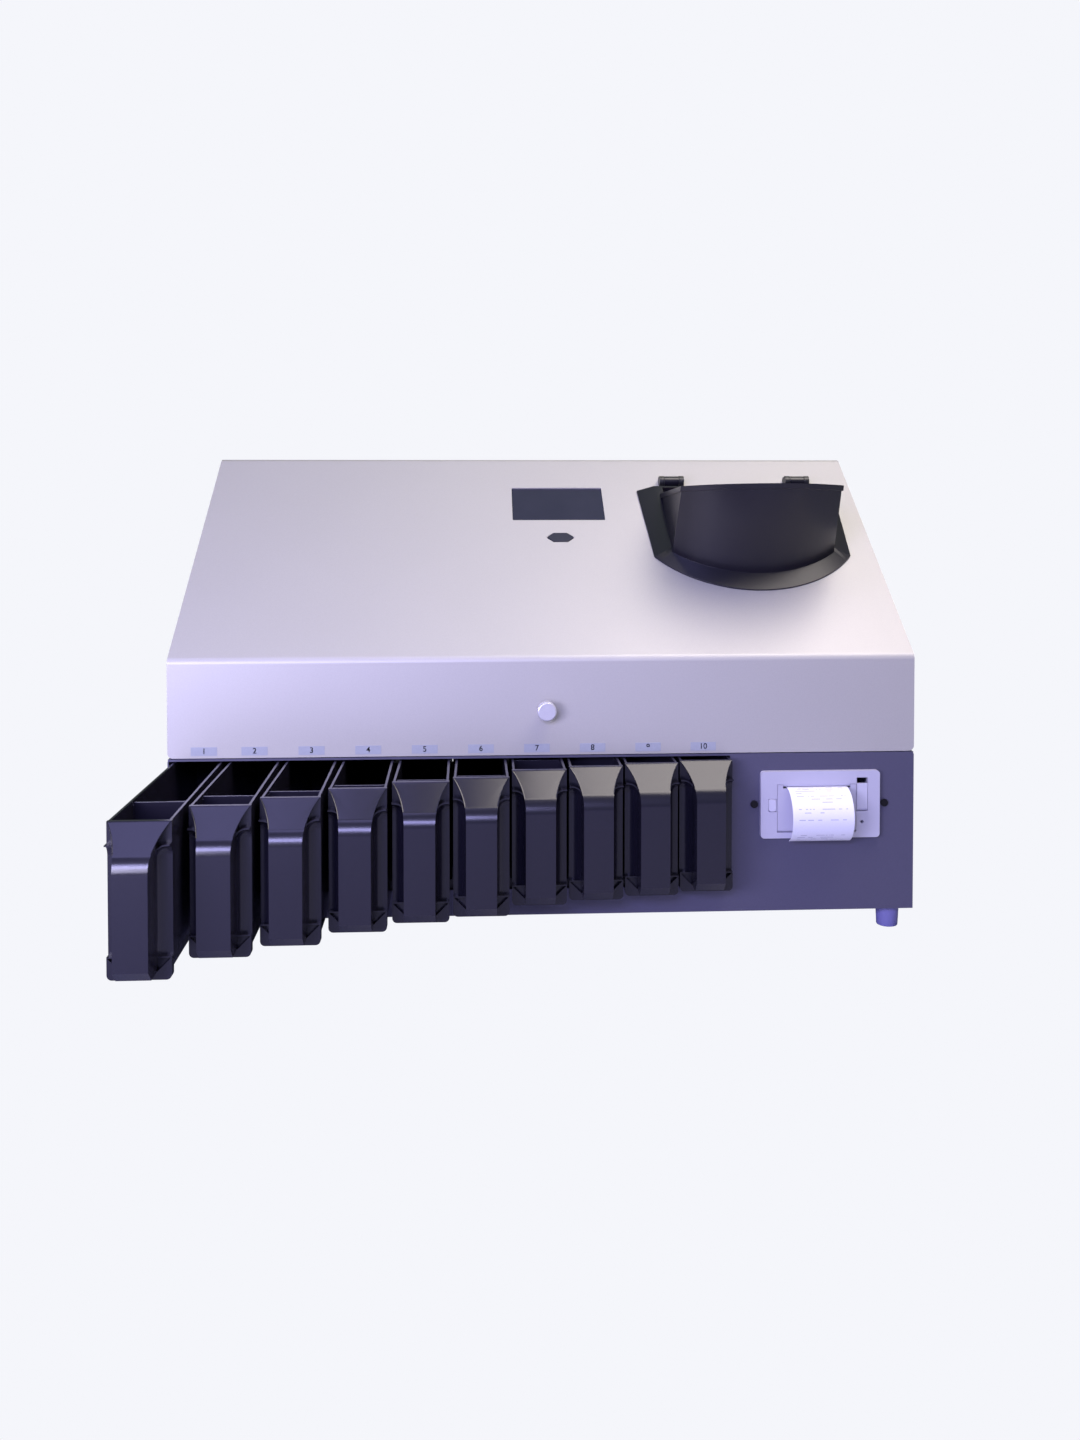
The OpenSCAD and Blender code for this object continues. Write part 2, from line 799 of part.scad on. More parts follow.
module cover_shell() {
    inner = inset(cover_profile(), cover_sheet);
    inner_r = fold_r - cover_sheet;
    color(silver)
        difference() {
            along_x(-half_w, half_w)
                rounded(cover_profile(), [0, 0, fold_r, fold_r, fold_r]);
            along_x(-half_w + cover_sheet, half_w - cover_sheet)
                rounded([inner[0] - [0, 2 * cover_sheet], inner[1] - [0, 2 * cover_sheet],
                    inner[2], inner[3], inner[4]], [0, 0, inner_r, inner_r, inner_r]);
            along_y(-1, body_d + 1)
                for (s = [-1, 1])
                    difference() {
                        translate([s * half_w, cover_z])
                            square(2 * cover_corner_r, center = true);
                        translate([s * (half_w - cover_corner_r), cover_z + cover_corner_r])
                            circle(r = cover_corner_r);
                        translate([s * (half_w - cover_corner_r) - cover_corner_r, cover_z + cover_corner_r])
                            square([2 * cover_corner_r, cover_corner_r]);
                        translate([s > 0 ? half_w - 3 * cover_corner_r : -half_w + cover_corner_r,
                            cover_z - 1])
                            square([2 * cover_corner_r, 2 * cover_corner_r + 1]);
                    }
            rod_y(0, cover_z + knob_lift, knob_neck_r / 2 + 0.2, -1, cover_sheet + 1);
            on_slope() {
                translate([window_x, window_t, 0])
                    cube([window_w, window_h, 10], center = true);
                translate([window_x, key_t, -5])
                    linear_extrude(10)
                        key_outline(key_clear);
                translate([hopper_x, 0, -5])
                    linear_extrude(10)
                        bowl_plan(skirt_h);
            }
        }
}

module pull_knob() {
    z = cover_z + knob_lift;
    rim = 1;
    color(silver) {
        rod_y(0, z, knob_neck_r, -knob_reach + 4, 0);
        rod_y(0, z, knob_neck_r / 2, -1, cover_sheet + 1);
        rod_y(0, z, knob_neck_r, cover_sheet, cover_sheet + 4);
        translate([0, -knob_reach, z])
            rotate([-90, 0, 0]) {
                cylinder(r1 = knob_r - rim, r2 = knob_r, h = rim);
                translate([0, 0, rim])
                    cylinder(r = knob_r, h = 7 - rim);
            }
    }
}

module display_window() {
    color("#20242c")
        on_slope()
            translate([window_x, window_t, -cover_sheet - window_glass / 2])
                cube([window_w + 2 * window_margin, window_h + window_margin, window_glass], center = true);
}

// The display's frame and the board that carries it and the key's switch
module display_module() {
    low = key_t - key_h / 2 - 4;
    high = window_t + window_h / 2 + 4;
    top = -cover_sheet - window_glass;
    left = window_x - window_w / 2 - 4;
    color("#2f6b4f")
        on_slope() {
            block([left, low, board_h - board_t], [left + window_w + 8, high, board_h]);
            difference() {
                block([left + 2, window_t - window_h / 2, board_h],
                    [left + window_w + 6, window_t + window_h / 2, top]);
                block([left + 8, window_t - window_h / 2 + 6, board_h + 3],
                    [left + window_w, window_t + window_h / 2 - 6, top + 1]);
            }
        }
}

module menu_key() {
    color(black)
        on_slope()
            translate([window_x, key_t, 0]) {
                translate([0, 0, key_base])
                    linear_extrude(key_cap_h - key_base)
                        key_outline(0);
                translate([0, 0, key_base])
                    linear_extrude(1.5)
                        key_outline(key_flange);
                translate([0, 0, key_base - key_stem])
                    cylinder(r = key_stem_r, h = key_stem + 0.5);
            }
}

module key_switch() {
    color("#3a3a40")
        on_slope()
            translate([window_x, key_t, 0])
                block([-6, -6, board_h], [6, 6, key_base - key_stem - key_travel - gap]);
}

module channel_labels() {
    label_w = 24;
    label_h = 8;
    label_z = cover_z + 2.4;
    color("#c4c8ee")
        for (i = [0:drawer_count - 1])
            translate([drawer_x(i) + (i == 0 ? 6 : 0), 0, label_z])
                block([-label_w / 2, -0.2, 0], [label_w / 2, 0, label_h]);
}

// ---- Hopper ----

// The bowl's outside, moved in by a distance: a round front wall between two leaning sides
module bowl_solid(inward) {
    w = bowl_half_w - inward;
    intersection() {
        translate([0, 0, -1])
            linear_extrude(bowl_h + 1)
                bowl_plan(inward);
        translate([0, far, 0])
            rotate([90, 0, 0])
                linear_extrude(2 * far)
                    polygon([[-w - tan(lean_left), -1], [w + tan(lean_right), -1],
                        [w - bowl_h * tan(lean_right), bowl_h], [-w + bowl_h * tan(lean_left), bowl_h]]);
    }
}

// Everything above the hopper's rim, which falls towards the back, raised by a distance
module above_rim(raise) {
    front = bowl_front * cos(slope_angle) - (rim_z - fold_z) * tan(slope_angle);
    rotate([-slope_angle, 0, 0])
        translate([0, front, rim_z - fold_z + raise])
            rotate([-rim_fall, 0, 0])
                translate([-far / 2, -far / 2, 0])
                    cube(far);
}

module skirt_side() {
    translate([skirt_half, bowl_corner, 0])
        rotate([90, 0, -skirt_flare])
            translate([0, 0, -far / 2])
                linear_extrude(far)
                    polygon([[-far, 0], [0, 0], [0, skirt_edge], [-skirt_w, skirt_h], [-far, skirt_h]]);
}

module skirt() {
    intersection() {
        translate([0, skirt_centre, 0])
            union() {
                cylinder(r = skirt_r, h = skirt_edge, $fn = 128);
                translate([0, 0, skirt_edge])
                    cylinder(r1 = skirt_r, r2 = skirt_r - skirt_w, h = skirt_h - skirt_edge, $fn = 128);
            }
        skirt_side();
        mirror([1, 0, 0])
            skirt_side();
        block([-far, 0, 0], [far, bowl_back, far]);
    }
}

module feed_hopper() {
    arm_w = hinge_block_w - 2 * hinge_ear_w - 2 * gap;
    color(black)
        on_slope()
            translate([hopper_x, 0, gap]) {
                difference() {
                    union() {
                        skirt();
                        difference() {
                            bowl_solid(0);
                            block([-far, -far, -far], [far, far, 0]);
                        }
                        intersection() {
                            bowl_solid(-rim_lip_out);
                            block([-far, -far, skirt_h], [far, far, far]);
                            above_rim(-rim_lip_h);
                        }
                    }
                    bowl_solid(bowl_wall);
                    above_rim(0);
                }
                block([-bowl_half_w, bowl_back - back_bar_w, 0], [bowl_half_w, bowl_back, back_bar_h]);
                for (s = [-1, 1])
                    translate([s * hopper_hinge_x, 0, 0])
                        difference() {
                            union() {
                                rod_x(hopper_hinge_t, barrel_h - gap, hopper_barrel_r,
                                    -arm_w / 2, arm_w / 2);
                                block([-arm_w / 2, bowl_back - back_bar_w / 2, 0],
                                    [arm_w / 2, hopper_hinge_t, back_bar_h]);
                            }
                            rod_x(hopper_hinge_t, barrel_h - gap, hopper_pin_r + shaft_play, -far, far);
                        }
            }
}

// The two blocks on the cover that hold the hopper's pins
module hopper_hinge_blocks() {
    w = hinge_block_w / 2;
    color(black)
        on_slope()
            for (s = [-1, 1])
                translate([hopper_x + s * hopper_hinge_x, 0, 0]) {
                    for (x = [-w, w - hinge_ear_w])
                        hinge_ear(x);
                    block([-w, hopper_hinge_t + hopper_barrel_r + gap, 0],
                        [w, hopper_hinge_t + hopper_barrel_r + gap + 3, 5]);
                    rod_x(hopper_hinge_t, barrel_h, hopper_pin_r, -w + 1, w - 1);
                }
}

module hinge_ear(x) {
    translate([x, 0, 0]) {
        rod_x(hopper_hinge_t, barrel_h, barrel_h, 0, hinge_ear_w);
        block([0, hopper_hinge_t - barrel_h, 0], [hinge_ear_w, hopper_hinge_t + barrel_h, barrel_h]);
    }
}

// ---- Sorting deck ----

module sorting_deck() {
    color(steel)
        on_slope()
            difference() {
                block([-side_plate_x, deck_low, deck_under], [side_plate_x, deck_high, deck_top]);
                for (i = [0:drawer_count - 1])
                    translate([drawer_x(i), rail_t + hole_r(i), deck_under - 1])
                        cylinder(r = hole_r(i), h = deck_t + 2);
                translate([hopper_x, disc_place, deck_under - 1])
                    cylinder(r = disc_shaft_r + 1, h = deck_t + 2);
            }
}

// Upright plates that carry the deck on the base's side flanges
module deck_sides() {
    low = base_top;
    y0 = deck_low * cos(slope_angle) - deck_under * sin(slope_angle);
    z0 = fold_z + deck_low * sin(slope_angle) + deck_under * cos(slope_angle);
    y1 = deck_high * cos(slope_angle) - deck_under * sin(slope_angle);
    z1 = fold_z + deck_high * sin(slope_angle) + deck_under * cos(slope_angle);
    border = 18;
    color(steel)
        mirrored_x()
            along_x(side_plate_x - side_plate_t, side_plate_x)
                difference() {
                    polygon([[y0, low], [y1, low], [y1, z1], [y0, z0]]);
                    rounded([[y0 + border, low + border], [y1 - border, low + border],
                        [y1 - border, z1 - 2 * border], [y0 + border, z0 - border / 2]], [8, 8, 8, 8]);
                }
}

module coin_rail() {
    color("#b9bcc4")
        on_slope()
            block([-side_plate_x + 2, rail_t - rail_w, deck_top], [rail_end, rail_t, deck_top + rail_h]);
}

// The wall that keeps the coins on the feed disc, open where they leave for the rail
module coin_ring() {
    color("#3f4048")
        on_slope()
            difference() {
                translate([hopper_x, disc_place, deck_top])
                    cylinder(r = ring_r + ring_t, h = ring_top - deck_top, $fn = 96);
                translate([hopper_x, disc_place, deck_top - 1])
                    cylinder(r = ring_r, h = far, $fn = 96);
                block([hopper_x - ring_r - 10, 0, deck_top - 1], [hopper_x - 20, rail_t + 20, 0]);
            }
}

module coin_chutes() {
    left = drawer_x(0) - duct_w / 2;
    right = last_x + duct_w / 2;
    inner_front = duct_y + duct_wall;
    inner_back = duct_y + duct_d - duct_wall;
    color("#3f4048")
        difference() {
            union() {
                difference() {
                    union() {
                        on_slope()
                            block([left, rail_t - rail_w, deck_under - 2], [right, rail_t + 38, deck_under]);
                        block([left, duct_y, duct_bottom], [right, duct_y + duct_d, roof_z]);
                    }
                    block([-far, inner_front, 0], [far, inner_back, far]);
                }
                difference() {
                    block([left, inner_front + gap, duct_bottom], [right, inner_back - gap, roof_z]);
                    for (i = [0:drawer_count - 1])
                        block([drawer_x(i) - duct_w / 2 + duct_wall, 0, 0],
                            [drawer_x(i) + duct_w / 2 - duct_wall, far, far]);
                }
            }
            on_slope()
                block([-far, -far, deck_under], [far, far, far]);
        }
}

// A raised bar over the belt with legs between the coin openings; it holds the pulleys' shafts
module belt_bracket() {
    leg_w = 6;
    left = drive_x - pulley_r - 4;
    last_leg_x = drawer_x(drawer_count - 1) - drawer_pitch / 2;
    right = max(idler_x + pulley_r + 4, last_leg_x + leg_w / 2);
    bar_low = deck_top + 6;
    bar_high = pulley_h + pulley_r + 5;
    color(steel)
        on_slope()
            difference() {
                union() {
                    block([left, bracket_t0, bar_low], [right, bracket_t0 + bracket_t, bar_high]);
                    block([right - leg_w, bracket_t0, deck_top], [right, bracket_t0 + bracket_t, bar_low]);
                    for (i = [1:drawer_count - 1])
                        translate([drawer_x(i) - drawer_pitch / 2, 0, 0])
                            block([-leg_w / 2, bracket_t0, deck_top],
                                [leg_w / 2, bracket_t0 + bracket_t, bar_low]);
                }
                for (x = [drive_x, idler_x])
                    rod_y(x, pulley_h, shaft_r + shaft_play, bracket_t0 - 1, bracket_t0 + bracket_t + 1);
            }
}

module belt_loop(r) {
    for (x = [drive_x, idler_x])
        translate([x, pulley_h])
            circle(r = r);
    translate([drive_x, pulley_h - r])
        square([idler_x - drive_x, 2 * r]);
}

module drive_belt() {
    color("#4b4a3c")
        on_slope()
            along_y(belt_mid - belt_w / 2, belt_mid + belt_w / 2)
                difference() {
                    belt_loop(pulley_r + gap + belt_t);
                    belt_loop(pulley_r + gap);
                }
}

module pulley(x, shaft_end) {
    color("#c9c7b8")
        on_slope() {
            rod_y(x, pulley_h, pulley_r, belt_mid - belt_w / 2, belt_mid + belt_w / 2);
            rod_y(x, pulley_h, shaft_r, belt_mid - belt_w / 2, shaft_end);
        }
}

module drive_pulley() {
    pulley(drive_x, bracket_t0 + bracket_t + motor_bore - 1);
}

module idler_pulley() {
    pulley(idler_x, bracket_t0 + bracket_t + 1.5);
}

module belt_motor() {
    back = bracket_t0 + bracket_t;
    color("#55565c")
        on_slope()
            difference() {
                rod_y(drive_x, pulley_h, motor_r, back, back + motor_len);
                rod_y(drive_x, pulley_h, shaft_r + shaft_play, back - 1, back + motor_bore);
            }
}

module feed_disc() {
    z0 = deck_top + gap;
    pocket_r = 13;
    color("#8f3f2c")
        on_slope()
            translate([hopper_x, disc_place, z0]) {
                difference() {
                    cylinder(r = disc_r, h = disc_t, $fn = 96);
                    for (a = [0:45:315])
                        rotate(a)
                            translate([disc_r - pocket_r - 3, 0, disc_t - 4])
                                cylinder(r = pocket_r, h = 10);
                }
                cylinder(r1 = 22, r2 = 8, h = disc_t + 8);
                translate([0, 0, -deck_t - gap - disc_shaft_h])
                    cylinder(r = disc_shaft_r, h = deck_t + gap + disc_shaft_h);
            }
}

module disc_motor() {
    color("#55565c")
        on_slope()
            translate([hopper_x, disc_place, deck_under])
                difference() {
                    union() {
                        translate([0, 0, -gearbox_h])
                            cylinder(r = gearbox_r, h = gearbox_h);
                        translate([gearbox_r / 3, 0, -gearbox_h - disc_motor_h])
                            cylinder(r = disc_motor_r, h = disc_motor_h + 1);
                    }
                    translate([0, 0, -disc_shaft_h - 2])
                        cylinder(r = disc_shaft_r + shaft_play, h = disc_shaft_h + 3);
                }
}

// ---- Printer ----

module printer_body() {
    half = printer_half_w;
    hub_end = paper_w / 2 + 0.5;
    color("#8f8ea6") {
        difference() {
            block([fascia_x - half, 0, fascia_z - printer_half_h],
                [fascia_x + half, printer_d, fascia_z + printer_half_h]);
            block([fascia_x - half + printer_wall, -1, fascia_z - printer_half_h + printer_wall],
                [fascia_x + half - printer_wall, printer_d - printer_wall,
                    fascia_z + printer_half_h - printer_wall]);
        }
        for (s = [-1, 1])
            translate([door_x, 0, 0])
                mirror([s < 0 ? 1 : 0, 0, 0]) {
                    wall = half - printer_wall / 2 - s * (door_x - fascia_x);
                    rod_x(roll_y, roll_z, core_r + 3, hub_end, wall);
                    rod_x(roll_y, roll_z, core_r, hub_end - 5, hub_end + 1);
                }
    }
}

module paper_roll() {
    color("white")
        difference() {
            rod_x(roll_y, roll_z, roll_r, door_x - paper_w / 2, door_x + paper_w / 2);
            rod_x(roll_y, roll_z, core_r + shaft_play, door_x - paper_w, door_x + paper_w);
        }
}

module printer_fascia() {
    color(lavender)
        difference() {
            along_y(-fascia_t, 0)
                difference() {
                    translate([fascia_x, fascia_z])
                        rounded_rect(fascia_w, fascia_h, fascia_r);
                    translate([door_x, door_z])
                        square([door_w, door_h], center = true);
                    translate([lever_x, lever_z])
                        square([lever_w, lever_h], center = true);
                    translate([button_x, button_z])
                        square([button_w + 0.6, button_h + 0.6], center = true);
                    translate([lever_x, lever_z - lever_h / 2 - lamp_drop])
                        circle(r = lamp_r);
                }
            block([button_x - button_w / 2 - button_rim, -pocket_depth,
                button_z - button_h / 2 - button_rim],
                [button_x + button_w / 2 + button_rim, 1, button_z + button_h / 2 + button_rim]);
            for (x = [door_x - door_w / 2, door_x + door_w / 2])
                rod_x(pivot_y, door_pivot_z, 1 + shaft_play, x - 2.5, x + 2.5);
            for (x = [lever_x - lever_w / 2, lever_x + lever_w / 2])
                rod_x(pivot_y, lever_pivot_z, 0.8 + shaft_play, x - 0.9, x + 0.9);
        }
    color(lavender)
        block([door_x - slot_w / 2, -fascia_t + 0.6, slot_z + slot_h / 2],
            [door_x + slot_w / 2, -0.5, door_top + 0.5]);
}

module printer_door() {
    w = door_w / 2 - door_clear;
    plate = 2.5;
    color(lavender)
        translate([door_x, 0, 0]) {
            along_y(-fascia_t + 0.1, -fascia_t + 0.1 + plate)
                difference() {
                    translate([-w, door_pivot_z])
                        square([2 * w, door_top - door_clear - door_pivot_z]);
                    translate([-slot_w / 2 - 0.3, slot_z - slot_h / 2])
                        square([slot_w + 0.6, far]);
                }
            rod_x(pivot_y, door_pivot_z, barrel_r, -w, w);
            rod_x(pivot_y, door_pivot_z, 1, -w - 2, w + 2);
            for (s = [-1, 1])
                translate([s * (w - 4), 0, 0])
                    block([-1, -fascia_t + plate, door_pivot_z + barrel_r + 1],
                        [1, fascia_t, slot_z - 4]);
        }
}

// The receipt: out through the slot, forward and down in a loose curl
module receipt_paper() {
    inner_end = 2.5;
    curl_y = -fascia_t + 0.5;
    curl_z = slot_z - curl_r;
    tail = 68;
    color("white")
        along_x(door_x - paper_w / 2, door_x + paper_w / 2) {
            intersection() {
                translate([curl_y, curl_z])
                    difference() {
                        circle(r = curl_r + paper_t / 2, $fn = 96);
                        circle(r = curl_r - paper_t / 2, $fn = 96);
                    }
                translate([curl_y, curl_z])
                    polygon([[0, 0], [0, 2 * curl_r], [-3 * curl_r, 2 * curl_r], [-3 * curl_r, -3 * curl_r],
                        [-3 * curl_r * cos(tail), -3 * curl_r * sin(tail)]]);
            }
            translate([curl_y, slot_z - paper_t / 2])
                square([inner_end - curl_y, paper_t]);
        }
}

module release_lever() {
    w = lever_w / 2 - door_clear;
    recess = 5.5;
    color(lavender)
        translate([lever_x, 0, 0]) {
            block([-w, -fascia_t + 0.1, lever_pivot_z],
                [w, -fascia_t + 2.6, lever_z + lever_h / 2 - recess]);
            rod_x(pivot_y, lever_pivot_z, barrel_r, -w, w);
            rod_x(pivot_y, lever_pivot_z, 0.8, -w - 0.8, w + 0.8);
        }
}

module feed_button() {
    color(lavender)
        translate([button_x, 0, button_z]) {
            along_y(-fascia_t - 0.5, -pocket_depth + gap + button_flange)
                rounded_rect(button_w, button_h, 2);
            along_y(-pocket_depth + gap, -pocket_depth + gap + button_flange)
                rounded_rect(button_w + 2, button_h + 2, 2.5);
        }
}

module panel_screws() {
    color("#1c1c22")
        for (s = [-1, 1])
            translate([fascia_x + s * screw_x, 0, fascia_z]) {
                rod_y(0, 0, screw_r, -screw_head_h, 0);
                rod_y(0, 0, screw_r / 2, -screw_head_h / 2, screw_len);
            }
}

// ---- Rear fittings and electronics ----

module power_inlet() {
    body_w = inlet_w - 7;
    body_h = inlet_h - 7;
    socket_x = inlet_x + 8;
    color("#26262b")
        difference() {
            union() {
                along_y(body_d, body_d + inlet_t)
                    translate([inlet_x, inlet_z])
                        rounded_rect(inlet_w, inlet_h, 2);
                block([inlet_x - body_w / 2, body_d - 24, inlet_z - body_h / 2],
                    [inlet_x + body_w / 2, body_d, inlet_z + body_h / 2]);
            }
            difference() {
                block([socket_x - 11, body_d - 15, inlet_z - 8], [socket_x + 11, body_d + 5, inlet_z + 8]);
                for (x = [-7, 0, 7])
                    block([socket_x + x - 1, body_d - 16, inlet_z - (x == 0 ? -1 : 3)],
                        [socket_x + x + 1, body_d - 3, inlet_z + (x == 0 ? 5 : 1)]);
            }
            block([rocker_x - rocker_w / 2 - gap, body_d - 9, inlet_z - rocker_h / 2 - gap],
                [rocker_x + rocker_w / 2 + gap, body_d + 5, inlet_z + rocker_h / 2 + gap]);
            rod_x(rocker_y, inlet_z, 1 + shaft_play, rocker_x - rocker_w / 2 - 1.1,
                rocker_x + rocker_w / 2 + 1.1);
        }
}

module power_switch() {
    half = rocker_h / 2;
    color("#26262b") {
        along_x(rocker_x - rocker_w / 2, rocker_x + rocker_w / 2)
            translate([rocker_y, inlet_z])
                polygon([[0, -half + 1.2], [2.4, -half + 1.6], [0.9, 0], [2.4, half - 1.6], [0, half - 1.2],
                    [-5.5, 4], [-5.5, -4]]);
        rod_x(rocker_y, inlet_z, 1, rocker_x - rocker_w / 2 - 1, rocker_x + rocker_w / 2 + 1);
    }
}

module power_supply() {
    color("#b5b7bc")
        block([supply_x, supply_back - supply_d, pan_floor],
            [supply_x + supply_w, supply_back, pan_floor + supply_h]);
}

module control_board() {
    color("#2f6b4f")
        block([control_x, control_y, control_z], [control_x + control_w, control_y + board_t,
            control_z + control_h]);
    chip = control_h / 3;
    color("#3a3a40") {
        block([control_x + chip, control_y - 3 * chip_t, control_z + chip / 2],
            [control_x + 2 * chip, control_y, control_z + 3 * chip / 2]);
        block([control_x + 5 * chip / 2, control_y - chip_t, control_z + chip],
            [control_x + 7 * chip / 2, control_y, control_z + 2 * chip]);
        for (x = [4 * chip, 14 * chip / 3], z = [chip / 2, 3 * chip / 2, 5 * chip / 2])
            rod_y(control_x + x, control_z + z, capacitor_r, control_y - capacitor_h, control_y);
    }
}

// Moves a piece from the base's own place to the machine's
module placed() {
    translate([0, front_y, 0])
        children();
}

placed() base_pan();
placed() front_panel();
placed() rear_panel();
placed() drawer_tray();
placed() feet();
placed() sorting_deck();
placed() deck_sides();
placed() coin_rail();
placed() coin_ring();
placed() coin_chutes();
placed() belt_bracket();
placed() drive_belt();
placed() belt_motor();
placed() disc_motor();
placed() power_supply();
placed() control_board();
placed() power_inlet();
placed() printer_body();
placed() printer_fascia();
placed() panel_screws();
placed() hinge_fixed_leaves();
placed() cover_shell();
placed() pull_knob();
placed() display_window();
placed() display_module();
placed() key_switch();
placed() channel_labels();
placed() hopper_hinge_blocks();
placed() hinge_moving_leaves();
placed() menu_key();
placed() feed_hopper();
placed() feed_disc();
placed() drive_pulley();
placed() idler_pulley();
placed() printer_door();
placed() receipt_paper();
placed() release_lever();
placed() feed_button();
placed() paper_roll();
placed() power_switch();
placed() coin_drawer(0);  // coin_drawer_01
placed() coin_drawer(1);  // coin_drawer_02
placed() coin_drawer(2);  // coin_drawer_03
placed() coin_drawer(3);  // coin_drawer_04
placed() coin_drawer(4);  // coin_drawer_05
placed() coin_drawer(5);  // coin_drawer_06
placed() coin_drawer(6);  // coin_drawer_07
placed() coin_drawer(7);  // coin_drawer_08
placed() coin_drawer(8);  // coin_drawer_09
placed() coin_drawer(9);  // coin_drawer_10
placed() drawer_divider(0);  // drawer_divider_01
placed() drawer_divider(1);  // drawer_divider_02
placed() drawer_divider(2);  // drawer_divider_03
placed() drawer_divider(3);  // drawer_divider_04
placed() drawer_divider(4);  // drawer_divider_05
placed() drawer_divider(5);  // drawer_divider_06
placed() drawer_divider(6);  // drawer_divider_07
placed() drawer_divider(7);  // drawer_divider_08
placed() drawer_divider(8);  // drawer_divider_09
placed() drawer_divider(9);  // drawer_divider_10
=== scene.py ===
# %% [markdown]
# # A coin sorting machine
# The machine is a folded sheet-metal case with moulded plastic drawers. The CAD model is loaded first, as a
# fixed frame: it says where each piece lies and how it moves, and everything below is fitted to it.

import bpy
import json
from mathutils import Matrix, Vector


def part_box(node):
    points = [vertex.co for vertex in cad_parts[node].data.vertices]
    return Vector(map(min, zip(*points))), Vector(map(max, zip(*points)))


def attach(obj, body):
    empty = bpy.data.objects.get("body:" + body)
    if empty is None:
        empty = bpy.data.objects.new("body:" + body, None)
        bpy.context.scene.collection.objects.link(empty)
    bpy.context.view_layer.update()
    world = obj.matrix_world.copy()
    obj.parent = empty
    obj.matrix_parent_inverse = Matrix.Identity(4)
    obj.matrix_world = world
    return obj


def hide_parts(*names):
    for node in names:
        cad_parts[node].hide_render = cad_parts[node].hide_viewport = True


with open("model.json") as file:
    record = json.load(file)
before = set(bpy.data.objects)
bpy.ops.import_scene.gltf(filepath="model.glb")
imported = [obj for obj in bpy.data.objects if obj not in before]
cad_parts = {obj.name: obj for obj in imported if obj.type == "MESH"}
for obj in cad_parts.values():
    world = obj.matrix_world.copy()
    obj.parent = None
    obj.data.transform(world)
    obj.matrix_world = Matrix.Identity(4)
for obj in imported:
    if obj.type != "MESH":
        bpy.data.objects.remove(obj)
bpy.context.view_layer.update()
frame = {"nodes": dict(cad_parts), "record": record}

import json
import math
from contextlib import contextmanager

import bmesh
import bpy
from mathutils import Matrix, Vector

MM = 0.001
NODES = frame["nodes"]
BODY_OF = {node: body for body, nodes in frame["record"]["behaviour"]["bodies"].items() for node in nodes}

# %% [markdown]
# ## The camera
# A wide machine shows its front and its top best from a little above, with a normal lens. The optical axis
# points slightly down and to the right, and a vertical shift of the lens brings the machine to the middle of
# the tall frame, which keeps its upright edges upright.

# %% Camera
FRONT_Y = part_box("front_panel")[0].y
SENSOR, LENS, LENS_SHIFT, FARTHEST = 36, 31.195, -0.1412, 20
EYE_X, EYE_BEFORE_FRONT, EYE_Z = -64.87, 1160.39, 426.22
TILT_DOWN, TURN_RIGHT = 1.5, 2.91
camera_data = bpy.data.cameras.new("camera")
camera = bpy.data.objects.new("camera", camera_data)
bpy.context.scene.collection.objects.link(camera)
bpy.context.scene.camera = camera
camera_data.sensor_width = SENSOR
camera_data.lens = LENS
camera_data.shift_y = LENS_SHIFT
camera_data.clip_end = FARTHEST
camera.location = (EYE_X * MM, FRONT_Y - EYE_BEFORE_FRONT * MM, EYE_Z * MM)
camera.rotation_euler = (math.radians(90 - TILT_DOWN), 0, math.radians(-TURN_RIGHT))
print("camera at", [round(c, 3) for c in camera.location])

# %% [markdown]
# ## Tools for modelling
# Each operator works on whatever is selected, so every helper clears the selection first. Shapes are started
# from a primitive at its real size and place, then shaped in edit mode with faces that are picked in code by
# where they lie or which way they look.

# %% Selecting, editing and finishing a mesh
def only(*objects):
    """Selects these objects alone and makes the first one active."""
    bpy.ops.object.select_all(action="DESELECT")
    for chosen in objects:
        chosen.select_set(True)
    bpy.context.view_layer.objects.active = objects[0]


def named(name):
    """Names the new active object and bakes its place and size into its mesh."""
    made = bpy.context.object
    made.name = made.data.name = name
    only(made)
    bpy.ops.object.transform_apply(location=True, rotation=True, scale=True)
    return made


def block(name, low, high):
    """A box from its lowest to its highest corner, in millimetres."""
    low, high = Vector(low) * MM, Vector(high) * MM
    bpy.ops.object.select_all(action="DESELECT")
    bpy.ops.mesh.primitive_cube_add(size=1, location=(low + high) / 2)
    bpy.context.object.scale = high - low
    return named(name)


def rod(name, radius, start, end, sides=48):
    """A round bar between two points, in millimetres."""
    start, end = Vector(start) * MM, Vector(end) * MM
    bpy.ops.object.select_all(action="DESELECT")
    bpy.ops.mesh.primitive_cylinder_add(
        vertices=sides, radius=radius * MM, depth=(end - start).length, location=(start + end) / 2)
    bpy.context.object.rotation_euler = (end - start).to_track_quat("Z", "Y").to_euler()
    return named(name)


def ball(name, radius, centre, segments):
    """A sphere, in millimetres."""
    bpy.ops.object.select_all(action="DESELECT")
    bpy.ops.mesh.primitive_uv_sphere_add(
        segments=segments, ring_count=segments // 2, radius=radius * MM, location=Vector(centre) * MM)
    return named(name)


@contextmanager
def editing(obj, mode="FACE"):
    """Edit mode on one object, with nothing selected in it."""
    only(obj)
    bpy.ops.object.mode_set(mode="EDIT")
    bpy.ops.mesh.select_mode(type=mode)
    bpy.ops.mesh.select_all(action="DESELECT")
    yield bmesh.from_edit_mesh(obj.data)
    bpy.ops.object.mode_set(mode="OBJECT")


def pick(obj, parts, test):
    """Selects the faces or edges that pass a test and says how many there are."""
    chosen = 0
    for part in parts:
        if test(part):
            part.select_set(True)
            chosen += 1
    bmesh.update_edit_mesh(obj.data)
    return chosen


